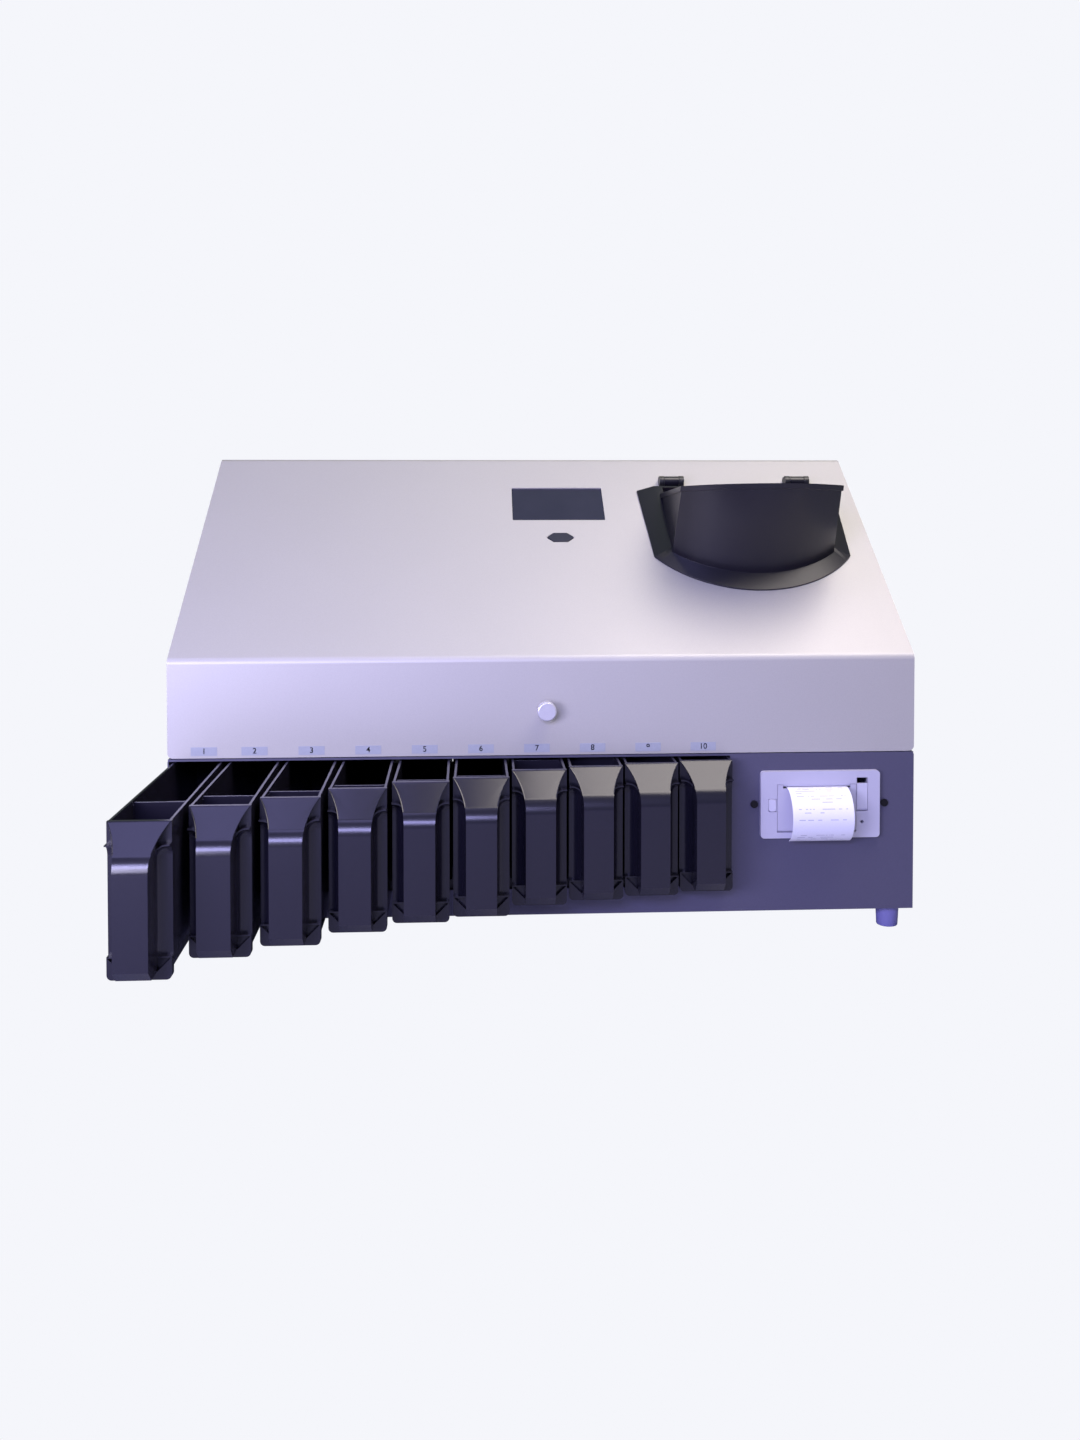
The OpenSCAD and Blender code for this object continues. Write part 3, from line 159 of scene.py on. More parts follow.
def modify(obj, kind, **settings):
    """Adds one modifier, sets it and applies it."""
    modifier = obj.modifiers.new(kind.lower(), kind)
    for name, value in settings.items():
        setattr(modifier, name, value)
    only(obj)
    bpy.ops.object.modifier_apply(modifier=modifier.name)
    return obj


def combine(obj, other, operation="UNION"):
    """Joins another solid to this one, or cuts it away, and removes the other."""
    modify(obj, "BOOLEAN", operation=operation, object=other, solver="EXACT")
    bpy.data.objects.remove(other)
    return obj


def slice_off(obj, point, normal):
    """Cuts off what lies on the side that the normal points to, and closes the cut. Millimetres."""
    with editing(obj):
        bpy.ops.mesh.select_all(action="SELECT")
        bpy.ops.mesh.bisect(
            plane_co=Vector(point) * MM, plane_no=Vector(normal), use_fill=True, clear_outer=True)
    return obj


def round_edges(obj, test, radius, segments=4):
    """Rounds the edges that pass a test."""
    with editing(obj, "EDGE") as mesh:
        count = pick(obj, mesh.edges, test)
        if count:
            bpy.ops.mesh.bevel(offset=radius * MM, offset_type="OFFSET", segments=segments, affect="EDGES",
                               clamp_overlap=True)
    return count


FLAT_FACE_WEIGHT, FLAT_WITHIN = 80, 0.2


def even_shading(obj, angle=35):
    """Smooths the roundings and keeps large flat faces flat. A join disturbs this, so it is then repeated."""
    only(obj)
    if obj.data.has_custom_normals:
        bpy.ops.mesh.customdata_custom_splitnormals_clear()
    bpy.ops.object.shade_smooth_by_angle(angle=math.radians(angle))
    return modify(obj, "WEIGHTED_NORMAL", keep_sharp=True, weight=FLAT_FACE_WEIGHT)


def finish_edges(obj, width=0.4, segments=2, angle=35):
    """Breaks every sharp edge, as moulding and bending do, and keeps the flat faces flat."""
    modify(obj, "BEVEL", width=width * MM, segments=segments, limit_method="ANGLE",
           angle_limit=math.radians(angle), harden_normals=False, use_clamp_overlap=True)
    return even_shading(obj, angle)


def tidy_solid(obj, merge=0.001):
    """Merges doubled points, within a distance in millimetres, and dissolves edges across flat faces."""
    with editing(obj):
        bpy.ops.mesh.select_all(action="SELECT")
        bpy.ops.mesh.remove_doubles(threshold=merge * MM)
        bpy.ops.mesh.dissolve_limited(angle_limit=math.radians(FLAT_WITHIN))
    return obj


def copy_of(obj, name):
    """A copy with a mesh of its own."""
    made = obj.copy()
    made.data = obj.data.copy()
    made.name = made.data.name = name
    bpy.context.scene.collection.objects.link(made)
    return made


def shift(obj, x, y, z):
    """Moves a piece in its mesh, in millimetres, so that its object stays at the origin."""
    obj.data.transform(Matrix.Translation(Vector((x, y, z)) * MM))
    return obj


def coat(obj, finish):
    """Gives a piece one finish all over."""
    obj.data.materials.clear()
    obj.data.materials.append(finish)


def settle(obj, node, finish):
    """Gives a piece its finish, lets it ride on its node's body and hides the node that it stands for."""
    coat(obj, finish)
    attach(obj, BODY_OF[node])
    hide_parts(node)
    return obj


def add_trim(obj, body, finish):
    """A piece that no CAD node stands for, such as a printed mark."""
    coat(obj, finish)
    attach(obj, body)
    return obj


def soften(node, finish, width):
    """A CAD node with its edges broken: a merged copy is bevelled and takes the node's place."""
    obj = copy_of(NODES[node], node + "_finished")
    obj.parent = None
    for key in list(obj.keys()):
        del obj[key]
    tidy_solid(obj)
    finish_edges(obj, width)
    return settle(obj, node, finish)


print("helpers ready")

# %% Which way an edge runs
ALONG, TOUCHING = 0.99, 1e-6


def direction(edge):
    return (edge.verts[0].co - edge.verts[1].co).normalized()


def runs_across(edge):
    return abs(direction(edge).x) > ALONG


def front_to_back(edge):
    return abs(direction(edge).y) > ALONG


def upright(edge):
    return abs(direction(edge).z) > ALONG


print("edge tests ready")

# %% [markdown]
# ## A small language for finishes
# Node trees are hard to read as lists of links. One class wraps a socket, so that arithmetic on values can be
# written as plain expressions, and another holds a material with one method that adds any node.

# %% Wires and finishes
class Wire:
    """A value in a shader. The operators add Math nodes."""

    def __init__(self, finish, socket):
        self.finish = finish
        self.socket = socket

    def math(self, operation, *others):
        return self.finish.node("ShaderNodeMath", {"operation": operation}, [self, *others])

    def __add__(self, other):
        return self.math("ADD", other)

    def __mul__(self, other):
        return self.math("MULTIPLY", other)

    def __sub__(self, other):
        return self.math("SUBTRACT", other)

    def __rsub__(self, other):
        return self.finish.node("ShaderNodeMath", {"operation": "SUBTRACT"}, [other, self])

    def __truediv__(self, other):
        return self.math("DIVIDE", other)

    __radd__ = __add__
    __rmul__ = __mul__

    def above(self, limit):
        return self.math("GREATER_THAN", limit)

    def below(self, limit):
        return self.math("LESS_THAN", limit)


class Finish:
    """A material with a Principled shader."""

    def __init__(self, name, sockets):
        self.material = bpy.data.materials.new(name)
        self.material.use_nodes = True
        self.tree = self.material.node_tree
        self.shader = self.tree.nodes["Principled BSDF"]
        for socket, value in sockets.items():
            self.shader.inputs[socket].default_value = value

    def node(self, kind, settings=None, inputs=(), output=0):
        """Adds a node: its settings first, then its values and links, by name or in order."""
        made = self.tree.nodes.new(kind)
        for name, value in (settings or {}).items():
            setattr(made, name, value)
        pairs = inputs.items() if isinstance(inputs, dict) else enumerate(inputs)
        for key, value in pairs:
            socket = made.inputs[key]
            if isinstance(value, Wire):
                self.tree.links.new(value.socket, socket)
            else:
                socket.default_value = value
        return Wire(self, made.outputs[output])

    def feed(self, socket, wire):
        self.tree.links.new(wire.socket, self.shader.inputs[socket])
        return self

    def place(self, stretch=(1, 1, 1)):
        """The surface's own coordinates, in metres, stretched along the axes."""
        coordinates = self.node("ShaderNodeTexCoord", output="Object")
        if stretch == (1, 1, 1):
            return coordinates
        return self.node("ShaderNodeMapping", inputs={"Vector": coordinates, "Scale": stretch})

    def noise(self, scale, detail=2, stretch=(1, 1, 1)):
        return self.node("ShaderNodeTexNoise", inputs={
            "Vector": self.place(stretch), "Scale": scale, "Detail": detail})

    def blend(self, factor, first, second):
        """One colour into another. The colour sockets of a Mix node are its seventh and eighth."""
        return self.node("ShaderNodeMix", {"data_type": "RGBA"}, {0: factor, 6: first, 7: second}, output=2)

    def bump(self, height, depth):
        """Relief of a depth in millimetres."""
        self.feed("Normal", self.node("ShaderNodeBump", inputs={
            "Height": height, "Strength": 1.0, "Distance": depth * MM}))
        return self


def shade(colour, factor):
    """A colour made lighter or darker."""
    return (*[min(1, c * factor) for c in colour], 1)


print("shader classes ready")

# %% [markdown]
# ## The finishes
# The cover is sprayed with a silver paint whose metal flakes glitter in a fine grain. The base has a dark
# slate powder coat. The drawers and the hopper are injection-moulded black plastic with a satin skin: smooth
# enough to mirror the lamps softly, with a faint unevenness that breaks the mirror up.

# %% Paint
FLAKES, CLOUDS, CLOUD_SCALE = 0.7, 0.3, 6
PAINT_GLOSS, PAINT_SPREAD, SPREAD_GRAIN = 0.06, 0.12, 1.6


def painted(name, colour, metallic, roughness, grain=900, relief=0.02, contrast=0.10):
    """Sprayed or powder-coated metal: flakes in the colour, a fine grain in the gloss and the relief."""
    finish = Finish(name, {"Metallic": metallic})
    flakes = finish.noise(grain, 3)
    clouds = finish.noise(CLOUD_SCALE, 2)
    finish.feed("Base Color", finish.blend(
        flakes * FLAKES + clouds * CLOUDS, shade(colour, 1 - contrast), shade(colour, 1 + contrast)))
    finish.feed("Roughness", roughness - PAINT_GLOSS + finish.noise(grain * SPREAD_GRAIN, 2) * PAINT_SPREAD)
    return finish.bump(flakes, relief).material


print("paint ready")

# %% Plastic
FLOW_SCALE, FLOW_STRETCH, FLOW_CONTRAST = 9, (1, 1, 0.35), 0.08
FLOW_SPREAD, SKIN_SPREAD = 0.05, 0.06


def moulded(name, colour, roughness, grain=500, relief=0.008):
    """Injection-moulded plastic: an even colour, and a skin that varies slightly in gloss."""
    finish = Finish(name, {"Specular IOR Level": 0.5})
    flow = finish.noise(FLOW_SCALE, 3, FLOW_STRETCH)
    finish.feed("Base Color", finish.blend(
        flow, shade(colour, 1 - FLOW_CONTRAST), shade(colour, 1 + FLOW_CONTRAST)))
    skin = finish.noise(grain, 3)
    finish.feed("Roughness", roughness - FLOW_SPREAD + flow * FLOW_SPREAD + skin * SKIN_SPREAD)
    return finish.bump(skin, relief).material


print("plastic ready")

# %% Bare metal
LINE_SCALE, LINE_DARK, LINE_LIGHT, LINE_RELIEF = 60, 0.9, 1.08, 0.01
LINE_GLOSS, LINE_SPREAD = 0.06, 0.14


def rolled(name, colour, roughness, along=(40, 1, 40)):
    """Bare sheet or bar metal: fine lines along one axis from rolling or grinding."""
    finish = Finish(name, {"Metallic": 1.0})
    lines = finish.noise(LINE_SCALE, 3, along)
    finish.feed("Base Color", finish.blend(lines, shade(colour, LINE_DARK), shade(colour, LINE_LIGHT)))
    finish.feed("Roughness", roughness - LINE_GLOSS + lines * LINE_SPREAD)
    return finish.bump(lines, LINE_RELIEF).material


print("bare metal ready")

# %% The finish of each material
SILVER = painted("silver_paint", (0.50, 0.485, 0.465), metallic=0.22, roughness=0.46)
SLATE = painted("slate_powder_coat", (0.088, 0.084, 0.145), metallic=0.10, roughness=0.46,
                grain=700, relief=0.03)
BLACK = moulded("black_satin_plastic", (0.013, 0.012, 0.022), roughness=0.22)
HOPPER_BLACK = moulded("hopper_plastic", (0.009, 0.008, 0.015), roughness=0.30, grain=350, relief=0.012)
PALE = moulded("pale_printer_plastic", (0.50, 0.49, 0.61), roughness=0.48)
PALE_LIGHT = moulded("lever_plastic", (0.58, 0.57, 0.70), roughness=0.42)
FOOT = moulded("foot_plastic", (0.20, 0.19, 0.46), roughness=0.5)
KEY = moulded("key_plastic", (0.030, 0.030, 0.048), roughness=0.25)
DARK = moulded("dark_moulding", (0.045, 0.047, 0.056), roughness=0.42)
INLET = moulded("inlet_plastic", (0.014, 0.014, 0.018), roughness=0.38)
DISC = moulded("disc_plastic", (0.27, 0.050, 0.030), roughness=0.40)
WHEEL = moulded("pulley_plastic", (0.58, 0.56, 0.48), roughness=0.45)
BELT = moulded("belt_rubber", (0.075, 0.070, 0.045), roughness=0.75, grain=900, relief=0.04)
ZINC = rolled("zinc_sheet", (0.52, 0.53, 0.55), roughness=0.38)
# The drawer tray is near-black so that the gaps between the drawers look dark: its colour is painted shade.
TRAY_AS_GAP_SHADE = painted("tray_gap_shade_black", (0.012, 0.011, 0.018), metallic=0.10, roughness=0.55)
GROUND = rolled("ground_steel", (0.66, 0.67, 0.70), roughness=0.24, along=(2, 60, 60))
CASE = rolled("supply_case", (0.62, 0.63, 0.65), roughness=0.42)
MOTOR = painted("motor_can", (0.090, 0.095, 0.105), metallic=0.5, roughness=0.4)
BLACK_STEEL = painted("black_screw_steel", (0.014, 0.013, 0.018), metallic=0.6, roughness=0.4)
KNOB = painted("knob_paint", (0.66, 0.65, 0.71), metallic=0.35, roughness=0.30,
               grain=600, relief=0.01, contrast=0.04)
print(len(bpy.data.materials), "finishes")

# %% [markdown]
# ## Glass, film and circuit board
# The display is a smoked pane: dark, smooth, and slightly hazy where hands have wiped it. The labels are a
# pale film with a faint weave. The board is green lacquer over tracks, and a cell pattern that measures the
# distance to its own edges draws such tracks without an image.

# %% Display glass
GLASS_DARK, GLASS_LIGHT, HAZE_SCALE = (0.020, 0.020, 0.040, 1), (0.030, 0.030, 0.054, 1), 30
GLASS_ROUGH, HAZE_SPREAD = 0.10, 0.06


def smoked_glass():
    finish = Finish("smoked_glass", {"Specular IOR Level": 0.4})
    haze = finish.noise(HAZE_SCALE, 2)
    finish.feed("Base Color", finish.blend(haze, GLASS_DARK, GLASS_LIGHT))
    finish.feed("Roughness", GLASS_ROUGH + haze * HAZE_SPREAD)
    return finish.material


GLASS = smoked_glass()
print("display glass ready")

# %% Label film and ink
FILM_DARK, FILM_LIGHT, WEAVE_SCALE = (0.36, 0.38, 0.44, 1), (0.41, 0.43, 0.50, 1), 400
FILM_ROUGH, WEAVE_SPREAD = 0.38, 0.08


def label_film():
    finish = Finish("label_film", {})
    weave = finish.noise(WEAVE_SCALE, 2)
    finish.feed("Base Color", finish.blend(weave, FILM_DARK, FILM_LIGHT))
    finish.feed("Roughness", FILM_ROUGH + weave * WEAVE_SPREAD)
    return finish.material


LABEL = label_film()
INK = moulded("label_ink", (0.012, 0.012, 0.035), roughness=0.55)
print("label film and ink ready")

# %% Circuit board
LACQUER, TRACK, TRACK_WIDTH = (0.016, 0.095, 0.055, 1), (0.050, 0.190, 0.105, 1), 0.06


def lacquered_board():
    finish = Finish("lacquered_board", {})
    tracks = finish.node("ShaderNodeTexVoronoi", {"feature": "DISTANCE_TO_EDGE"}, {
        "Vector": finish.place(), "Scale": 160.0})
    finish.feed("Base Color", finish.blend(tracks.above(TRACK_WIDTH), TRACK, LACQUER))
    finish.feed("Roughness", 0.34 + tracks * 0.1)
    return finish.bump(tracks, 0.03).material


BOARD = lacquered_board()
print("circuit board ready")

# %% [markdown]
# ## The cover
# The real cover is one folded sheet: an upright front, a long slope and a narrow roof, with side cheeks. It
# is modelled as a solid block first, because one cut and two bevels give its outline, and only then hollowed
# to the thickness of the sheet. The folds get their bend radius, which catches the light as a bright line.

# %% Sizes of the cover
base_plane = FRONT_Y / MM
cover_low, cover_high = [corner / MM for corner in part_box("cover_shell")]
half_w = cover_high.x
SLOPE_RISE, SLOPE_RUN = 189.6, 256
fold_z = cover_high.z - SLOPE_RISE
slope_angle = math.atan2(SLOPE_RISE, SLOPE_RUN)
slope_normal = Vector((0, -math.sin(slope_angle), math.cos(slope_angle)))
COVER_SHEET, FOLD_R, CORNER_R, RIM_BAND = 1.5, 4, 5, 0.1
ON_SLOPE = Matrix.Translation(Vector((0, base_plane, fold_z)) * MM) @ Matrix.Rotation(slope_angle, 4, "X")
print("the slope rises at", round(math.degrees(slope_angle), 2), "degrees")

# %% Cover: block, slope, folds
cover = block("cover", cover_low, cover_high)
slice_off(cover, (0, base_plane, fold_z), slope_normal)


def is_fold(edge):
    """The folds run across the cover, above its lower rim."""
    return runs_across(edge) and min(v.co.z for v in edge.verts) > (cover_low.z + CORNER_R) * MM


def is_lower_side(edge):
    """The lower rim of a cheek."""
    at_rim = max(v.co.z for v in edge.verts) < (cover_low.z + RIM_BAND) * MM
    return at_rim and not runs_across(edge)


folds = round_edges(cover, is_fold, FOLD_R, 6)
corners = round_edges(cover, is_lower_side, CORNER_R, 6)
print(folds, "folds and", corners, "lower corners rounded")

# %% Cover: open below, sheet thickness, holes
with editing(cover) as mesh:
    pick(cover, mesh.faces, lambda f: f.normal.z < -ALONG)
    bpy.ops.mesh.delete(type="FACE")
modify(cover, "SOLIDIFY", thickness=COVER_SHEET * MM, offset=-1, use_even_offset=True)
# The rounded corners would curl in under the cheeks, where the sorting deck has to pass as the cover opens.
combine(cover, block(
    "cheek_clearance", (COVER_SHEET - half_w, cover_low.y + COVER_SHEET, cover_low.z - 1),
    (half_w - COVER_SHEET, cover_high.y - COVER_SHEET, cover_low.z + CORNER_R + 1)), "DIFFERENCE")
print("cover is", COVER_SHEET, "mm thick and open below")

# %% Cover: holes for the display and the menu key
WINDOW_X, WINDOW_T, WINDOW_W, WINDOW_H, WINDOW_R = 23, 237, 99, 57.5, 1.2
KEY_T, KEY_W, KEY_H, KEY_GAP, KEY_TIP, KEY_TIP_R = 178.7, 28.3, 14.6, 0.35, 0.4, 1
THROUGH = 5


def on_slope(obj):
    """Moves a piece that was modelled flat, with its height along Z, onto the slope."""
    obj.data.transform(ON_SLOPE)
    return obj


window_hole = block("window_hole", (WINDOW_X - WINDOW_W / 2, WINDOW_T - WINDOW_H / 2, -THROUGH),
                    (WINDOW_X + WINDOW_W / 2, WINDOW_T + WINDOW_H / 2, THROUGH))
round_edges(window_hole, upright, WINDOW_R, 3)
combine(cover, on_slope(window_hole), "DIFFERENCE")
# The key is a hexagon with its tips left and right, so its hole is a box with two pairs of corners cut off.
key_hole = block("key_hole", (-KEY_W / 2 - KEY_GAP, -KEY_H / 2 - KEY_GAP, -THROUGH),
                 (KEY_W / 2 + KEY_GAP, KEY_H / 2 + KEY_GAP, THROUGH))
round_edges(key_hole, upright, KEY_H / 2 - KEY_TIP, 1)
round_edges(key_hole, upright, KEY_TIP_R, 3)
combine(cover, on_slope(shift(key_hole, WINDOW_X, KEY_T, 0)), "DIFFERENCE")
print("cover has", len(cover.data.polygons), "faces")

# %% [markdown]
# ## The feed hopper
# The hopper is one moulding: a deep curved front wall between two sides that lean in, a rolled rim, and a
# bevelled skirt that rests on the cover. The bowl comes from a round bar that is cut by planes, because its
# front is part of a circle. It is modelled flat, with the slope as its ground, and is tilted at the end.

# %% Hopper: sizes and the plane of its rim
BOWL_R, BOWL_HALF_W, BOWL_FRONT, BOWL_BACK, BOWL_WALL = 119.5, 84.5, 111, 258, 2.5
LEAN_LEFT, LEAN_RIGHT = math.radians(1), math.radians(6)
RIM_Z, RIM_FALL, RIM_LIP_H, RIM_LIP_OUT = 430, math.radians(3.7), 5, 1.5
SKIRT_W, SKIRT_H, SKIRT_EDGE, SKIRT_FLARE = 18, 8, 1.5, math.radians(3.5)
bowl_centre = BOWL_FRONT + BOWL_R
bowl_corner = bowl_centre - math.sqrt(BOWL_R ** 2 - BOWL_HALF_W ** 2)
rim_front = BOWL_FRONT * math.cos(slope_angle) - (RIM_Z - fold_z) * math.tan(slope_angle)
level = Matrix.Rotation(-slope_angle, 3, "X")
rim_point = level @ Vector((0, rim_front, RIM_Z - fold_z))
rim_normal = level @ Vector((0, math.sin(RIM_FALL), math.cos(RIM_FALL)))
BOWL_SIDES, TALL, SPARE_BELOW, SPARE_ABOVE = 160, 150, 20, 60
HOPPER_FROM_RIGHT = 129.5
HOPPER_X = half_w - HOPPER_FROM_RIGHT


def bowl(name, grow, bottom=0, top=TALL):
    """The bowl's solid shape, grown outwards by a distance, before its rim is cut."""
    made = rod(name, BOWL_R + grow, (0, bowl_centre, bottom), (0, bowl_centre, top), BOWL_SIDES)
    slice_off(made, (-BOWL_HALF_W - grow, 0, 0), (-math.cos(LEAN_LEFT), 0, math.sin(LEAN_LEFT)))
    slice_off(made, (BOWL_HALF_W + grow, 0, 0), (math.cos(LEAN_RIGHT), 0, math.sin(LEAN_RIGHT)))
    return slice_off(made, (0, BOWL_BACK + grow, 0), (0, 1, 0))


print("the bowl's front wall starts", BOWL_FRONT, "mm up the slope")

# %% Hopper: bowl and rolled rim
hopper = slice_off(bowl("hopper", 0), rim_point, rim_normal)
rim = slice_off(bowl("hopper_rim", RIM_LIP_OUT), rim_point, rim_normal)
slice_off(rim, rim_point - rim_normal * RIM_LIP_H, -rim_normal)
combine(hopper, rim)
print("rim stands out", RIM_LIP_OUT, "mm")

# %% Hopper: skirt
skirt_front = BOWL_FRONT - SKIRT_W
skirt_half = BOWL_HALF_W + SKIRT_W
skirt_r = (skirt_half ** 2 + (bowl_corner - skirt_front) ** 2) / (2 * (bowl_corner - skirt_front))
skirt_centre = skirt_front + skirt_r
skirt = rod("hopper_skirt", skirt_r, (0, skirt_centre, 0), (0, skirt_centre, SKIRT_EDGE), BOWL_SIDES)
with editing(skirt) as mesh:
    pick(skirt, mesh.faces, lambda f: f.normal.z > ALONG)
    bpy.ops.mesh.extrude_region_move(
        TRANSFORM_OT_translate={"value": (0, 0, (SKIRT_H - SKIRT_EDGE) * MM)})
    shrink = (skirt_r - SKIRT_W) / skirt_r
    bpy.ops.transform.resize(value=(shrink, shrink, 1),
                             center_override=Vector((0, skirt_centre, SKIRT_H)) * MM)
skirt_lean = math.atan2(SKIRT_W, SKIRT_H - SKIRT_EDGE)
for side in (-1, 1):
    outward = Vector((side * math.cos(SKIRT_FLARE), -math.sin(SKIRT_FLARE), 0))
    corner = (side * skirt_half, bowl_corner, SKIRT_EDGE)
    slice_off(skirt, corner, outward)
    slice_off(skirt, corner, outward * math.cos(skirt_lean) + Vector((0, 0, math.sin(skirt_lean))))
slice_off(skirt, (0, BOWL_BACK, 0), (0, 1, 0))
combine(hopper, skirt)
print("hopper's skirt is", round(2 * skirt_half), "mm wide")

# %% Hopper: hollow, hinge arms, edges
HINGE_T, HINGE_X, BARREL_R, ARM_W, CLEAR = 270, 70, 5.5, 15.4, 0.3
BAR_DEPTH, BAR_H, ARM_ROOT = 8, 3, 4
inside = bowl("hopper_inside", -BOWL_WALL, -SPARE_BELOW, TALL + SPARE_ABOVE)
combine(hopper, inside, "DIFFERENCE")
combine(hopper, block(
    "back_bar", (-BOWL_HALF_W, BOWL_BACK - BAR_DEPTH, 0), (BOWL_HALF_W, BOWL_BACK, BAR_H)))
for side in (-1, 1):
    near, far = side * HINGE_X - ARM_W / 2, side * HINGE_X + ARM_W / 2
    combine(hopper, rod("arm", BARREL_R, (near, HINGE_T, BARREL_R), (far, HINGE_T, BARREL_R)))
    combine(hopper, block("arm_foot", (near, BOWL_BACK - ARM_ROOT, 0), (far, HINGE_T, BAR_H)))
on_slope(shift(hopper, HOPPER_X, 0, CLEAR))
tidy_solid(hopper)
finish_edges(hopper, 0.45)
settle(hopper, "feed_hopper", HOPPER_BLACK)
print("hopper has", len(hopper.data.polygons), "faces")

# %% Cover: the hopper's hole, broken edges
HOLE_INSET = 8
hopper_hole = rod("hopper_hole", BOWL_R - HOLE_INSET, (0, bowl_centre, -THROUGH),
                  (0, bowl_centre, THROUGH), BOWL_SIDES)
for side in (-1, 1):
    slice_off(hopper_hole, (side * (BOWL_HALF_W - HOLE_INSET), 0, 0), (side, 0, 0))
slice_off(hopper_hole, (0, BOWL_BACK - HOLE_INSET, 0), (0, 1, 0))
combine(cover, on_slope(shift(hopper_hole, HOPPER_X, 0, 0)), "DIFFERENCE")
tidy_solid(cover)
finish_edges(cover, 0.35, 2, 25)
settle(cover, "cover_shell", SILVER)
print("cover has", len(cover.data.polygons), "faces")

# %% [markdown]
# ## A coin drawer
# All ten drawers are the same moulding, so one is modelled at the origin and copied. It has a tapered tub, a
# front plate with a finger channel on either side of a rib, and a pull whose rib widens in two arcs to a
# slanted head. The channels are cut by a bar and a ball, as the tool that makes them would be shaped.

# %% Drawer: sizes
DRAWER_W, DRAWER_H, DRAWER_LEN = 49.3, 121.5, 288
STEP, TAPER, WALL, FRONT_T, LIFT = 0.6, 2.2, 2, 4, 8
RIB_W, REACH, FLARE_H, EDGE_R, RIB_FOOT = 26.5, 28, 30, 8, 14.7
PLINTH_H, PLINTH_LOW, PLINTH_T = 18, 6, 3
COVE_R, SCOOP, CHANNEL_TOP, HOOD_T, SHELF_T, POCKET = 9.4, 2, 104, 1.2, 1.2, 1.5
PLATE_CORNER_R, COVE_BITE, PULL_ROOT, SPARE = 4, 0.15, 0.5, 5
half = DRAWER_W / 2
cove_x, cove_y, arch_z = RIB_W / 2 + COVE_R - COVE_BITE, SCOOP - COVE_R, CHANNEL_TOP - COVE_R
front_half = half - STEP
back_half = front_half - TAPER
print("a drawer is", DRAWER_W, "mm wide and", DRAWER_LEN + REACH, "mm long")

# %% Drawer: the tub
tub = block("drawer_tub", (-front_half, FRONT_T / 2, LIFT), (front_half, DRAWER_LEN, DRAWER_H))
with editing(tub) as mesh:
    pick(tub, mesh.faces, lambda f: f.normal.y > 0.9)
    bpy.ops.transform.resize(value=(back_half / front_half, 1, 1), center_override=(0, DRAWER_LEN * MM, 0))
with editing(tub) as mesh:
    pick(tub, mesh.faces, lambda f: f.normal.z > 0.9)
    bpy.ops.mesh.inset(thickness=WALL * MM)
    bpy.ops.mesh.extrude_region_move(
        TRANSFORM_OT_translate={"value": (0, 0, -(DRAWER_H - LIFT - WALL) * MM)})
print("tub narrows from", round(2 * front_half, 1), "to", round(2 * back_half, 1), "mm")

# %% Drawer: front plate, plinth and hoods
COVE_SIDES = 64
plate = block("drawer_plate", (-half, 0, 0), (half, FRONT_T, DRAWER_H))
plinth = block("drawer_plinth", (-half, -PLINTH_T, 0), (half, FRONT_T / 2, PLINTH_H))
for solid in (plate, plinth):
    round_edges(solid, lambda e: front_to_back(e) and e.verts[0].co.z < MM, PLATE_CORNER_R, 5)
combine(plate, plinth)
for side in (-1, 1):
    inner, outer = sorted((side * RIB_W / 4, side * half))
    hood = block("hood", (inner, cove_y, PLINTH_H), (outer, FRONT_T / 2, arch_z))
    arch = rod("arch", COVE_R + HOOD_T, (side * cove_x, cove_y, arch_z),
               (side * cove_x, FRONT_T / 2, arch_z), COVE_SIDES)
    slice_off(arch, (side * half, 0, 0), (side, 0, 0))
    combine(hood, arch)
    combine(plate, hood)
print("front plate has", len(plate.data.polygons), "faces")

# %% Drawer: channels and pockets
def channel_cutter(side):
    """A bar with a ball end. Its inner half stays round, and its outer half is drawn out to the side."""
    x = side * cove_x * MM
    cutter = ball("channel", COVE_R, (side * cove_x, cove_y, arch_z), COVE_SIDES)
    with editing(cutter) as mesh:
        pick(cutter, mesh.faces, lambda f: f.calc_center_median().z < arch_z * MM
             or (f.calc_center_median().x - x) * side > 0)
        bpy.ops.mesh.delete(type="FACE")
    with editing(cutter, "EDGE") as mesh:
        pick(cutter, mesh.edges, lambda e: all(abs(v.co.z - arch_z * MM) < TOUCHING for v in e.verts))
        bpy.ops.mesh.extrude_region_move(TRANSFORM_OT_translate={"value": (0, 0, (PLINTH_H - arch_z) * MM)})
    with editing(cutter, "EDGE") as mesh:
        pick(cutter, mesh.edges, lambda e: e.is_boundary and all(abs(v.co.x - x) < TOUCHING for v in e.verts))
        bpy.ops.mesh.extrude_region_move(TRANSFORM_OT_translate={"value": (side * half * MM, 0, 0)})
    far_x = x + side * half * MM
    with editing(cutter, "EDGE") as mesh:
        pick(cutter, mesh.edges, lambda e: all(abs(v.co.x - far_x) < TOUCHING for v in e.verts))
        bpy.ops.mesh.edge_face_add()
    with editing(cutter, "EDGE") as mesh:
        pick(cutter, mesh.edges, lambda e: e.is_boundary)
        bpy.ops.mesh.edge_face_add()
        bpy.ops.mesh.select_all(action="SELECT")
        bpy.ops.mesh.normals_make_consistent(inside=False)
    return cutter


def pocket_cutter(side):
    """The triangular pocket in the plinth, under the channel's shelf."""
    corner = side * RIB_W / 2
    low, high = sorted((corner, side * DRAWER_W))
    cutter = block("pocket", (low, -PLINTH_T - 1, PLINTH_LOW), (high, POCKET, PLINTH_H - SHELF_T))
    rise, run = PLINTH_H - SHELF_T - PLINTH_LOW, half - RIB_W / 2
    slice_off(cutter, (corner, 0, PLINTH_LOW), (side * rise, 0, -run))
    return cutter


for side in (-1, 1):
    combine(plate, channel_cutter(side), "DIFFERENCE")
    combine(plate, pocket_cutter(side), "DIFFERENCE")
print("channels and pockets cut:", len(plate.data.polygons), "faces")

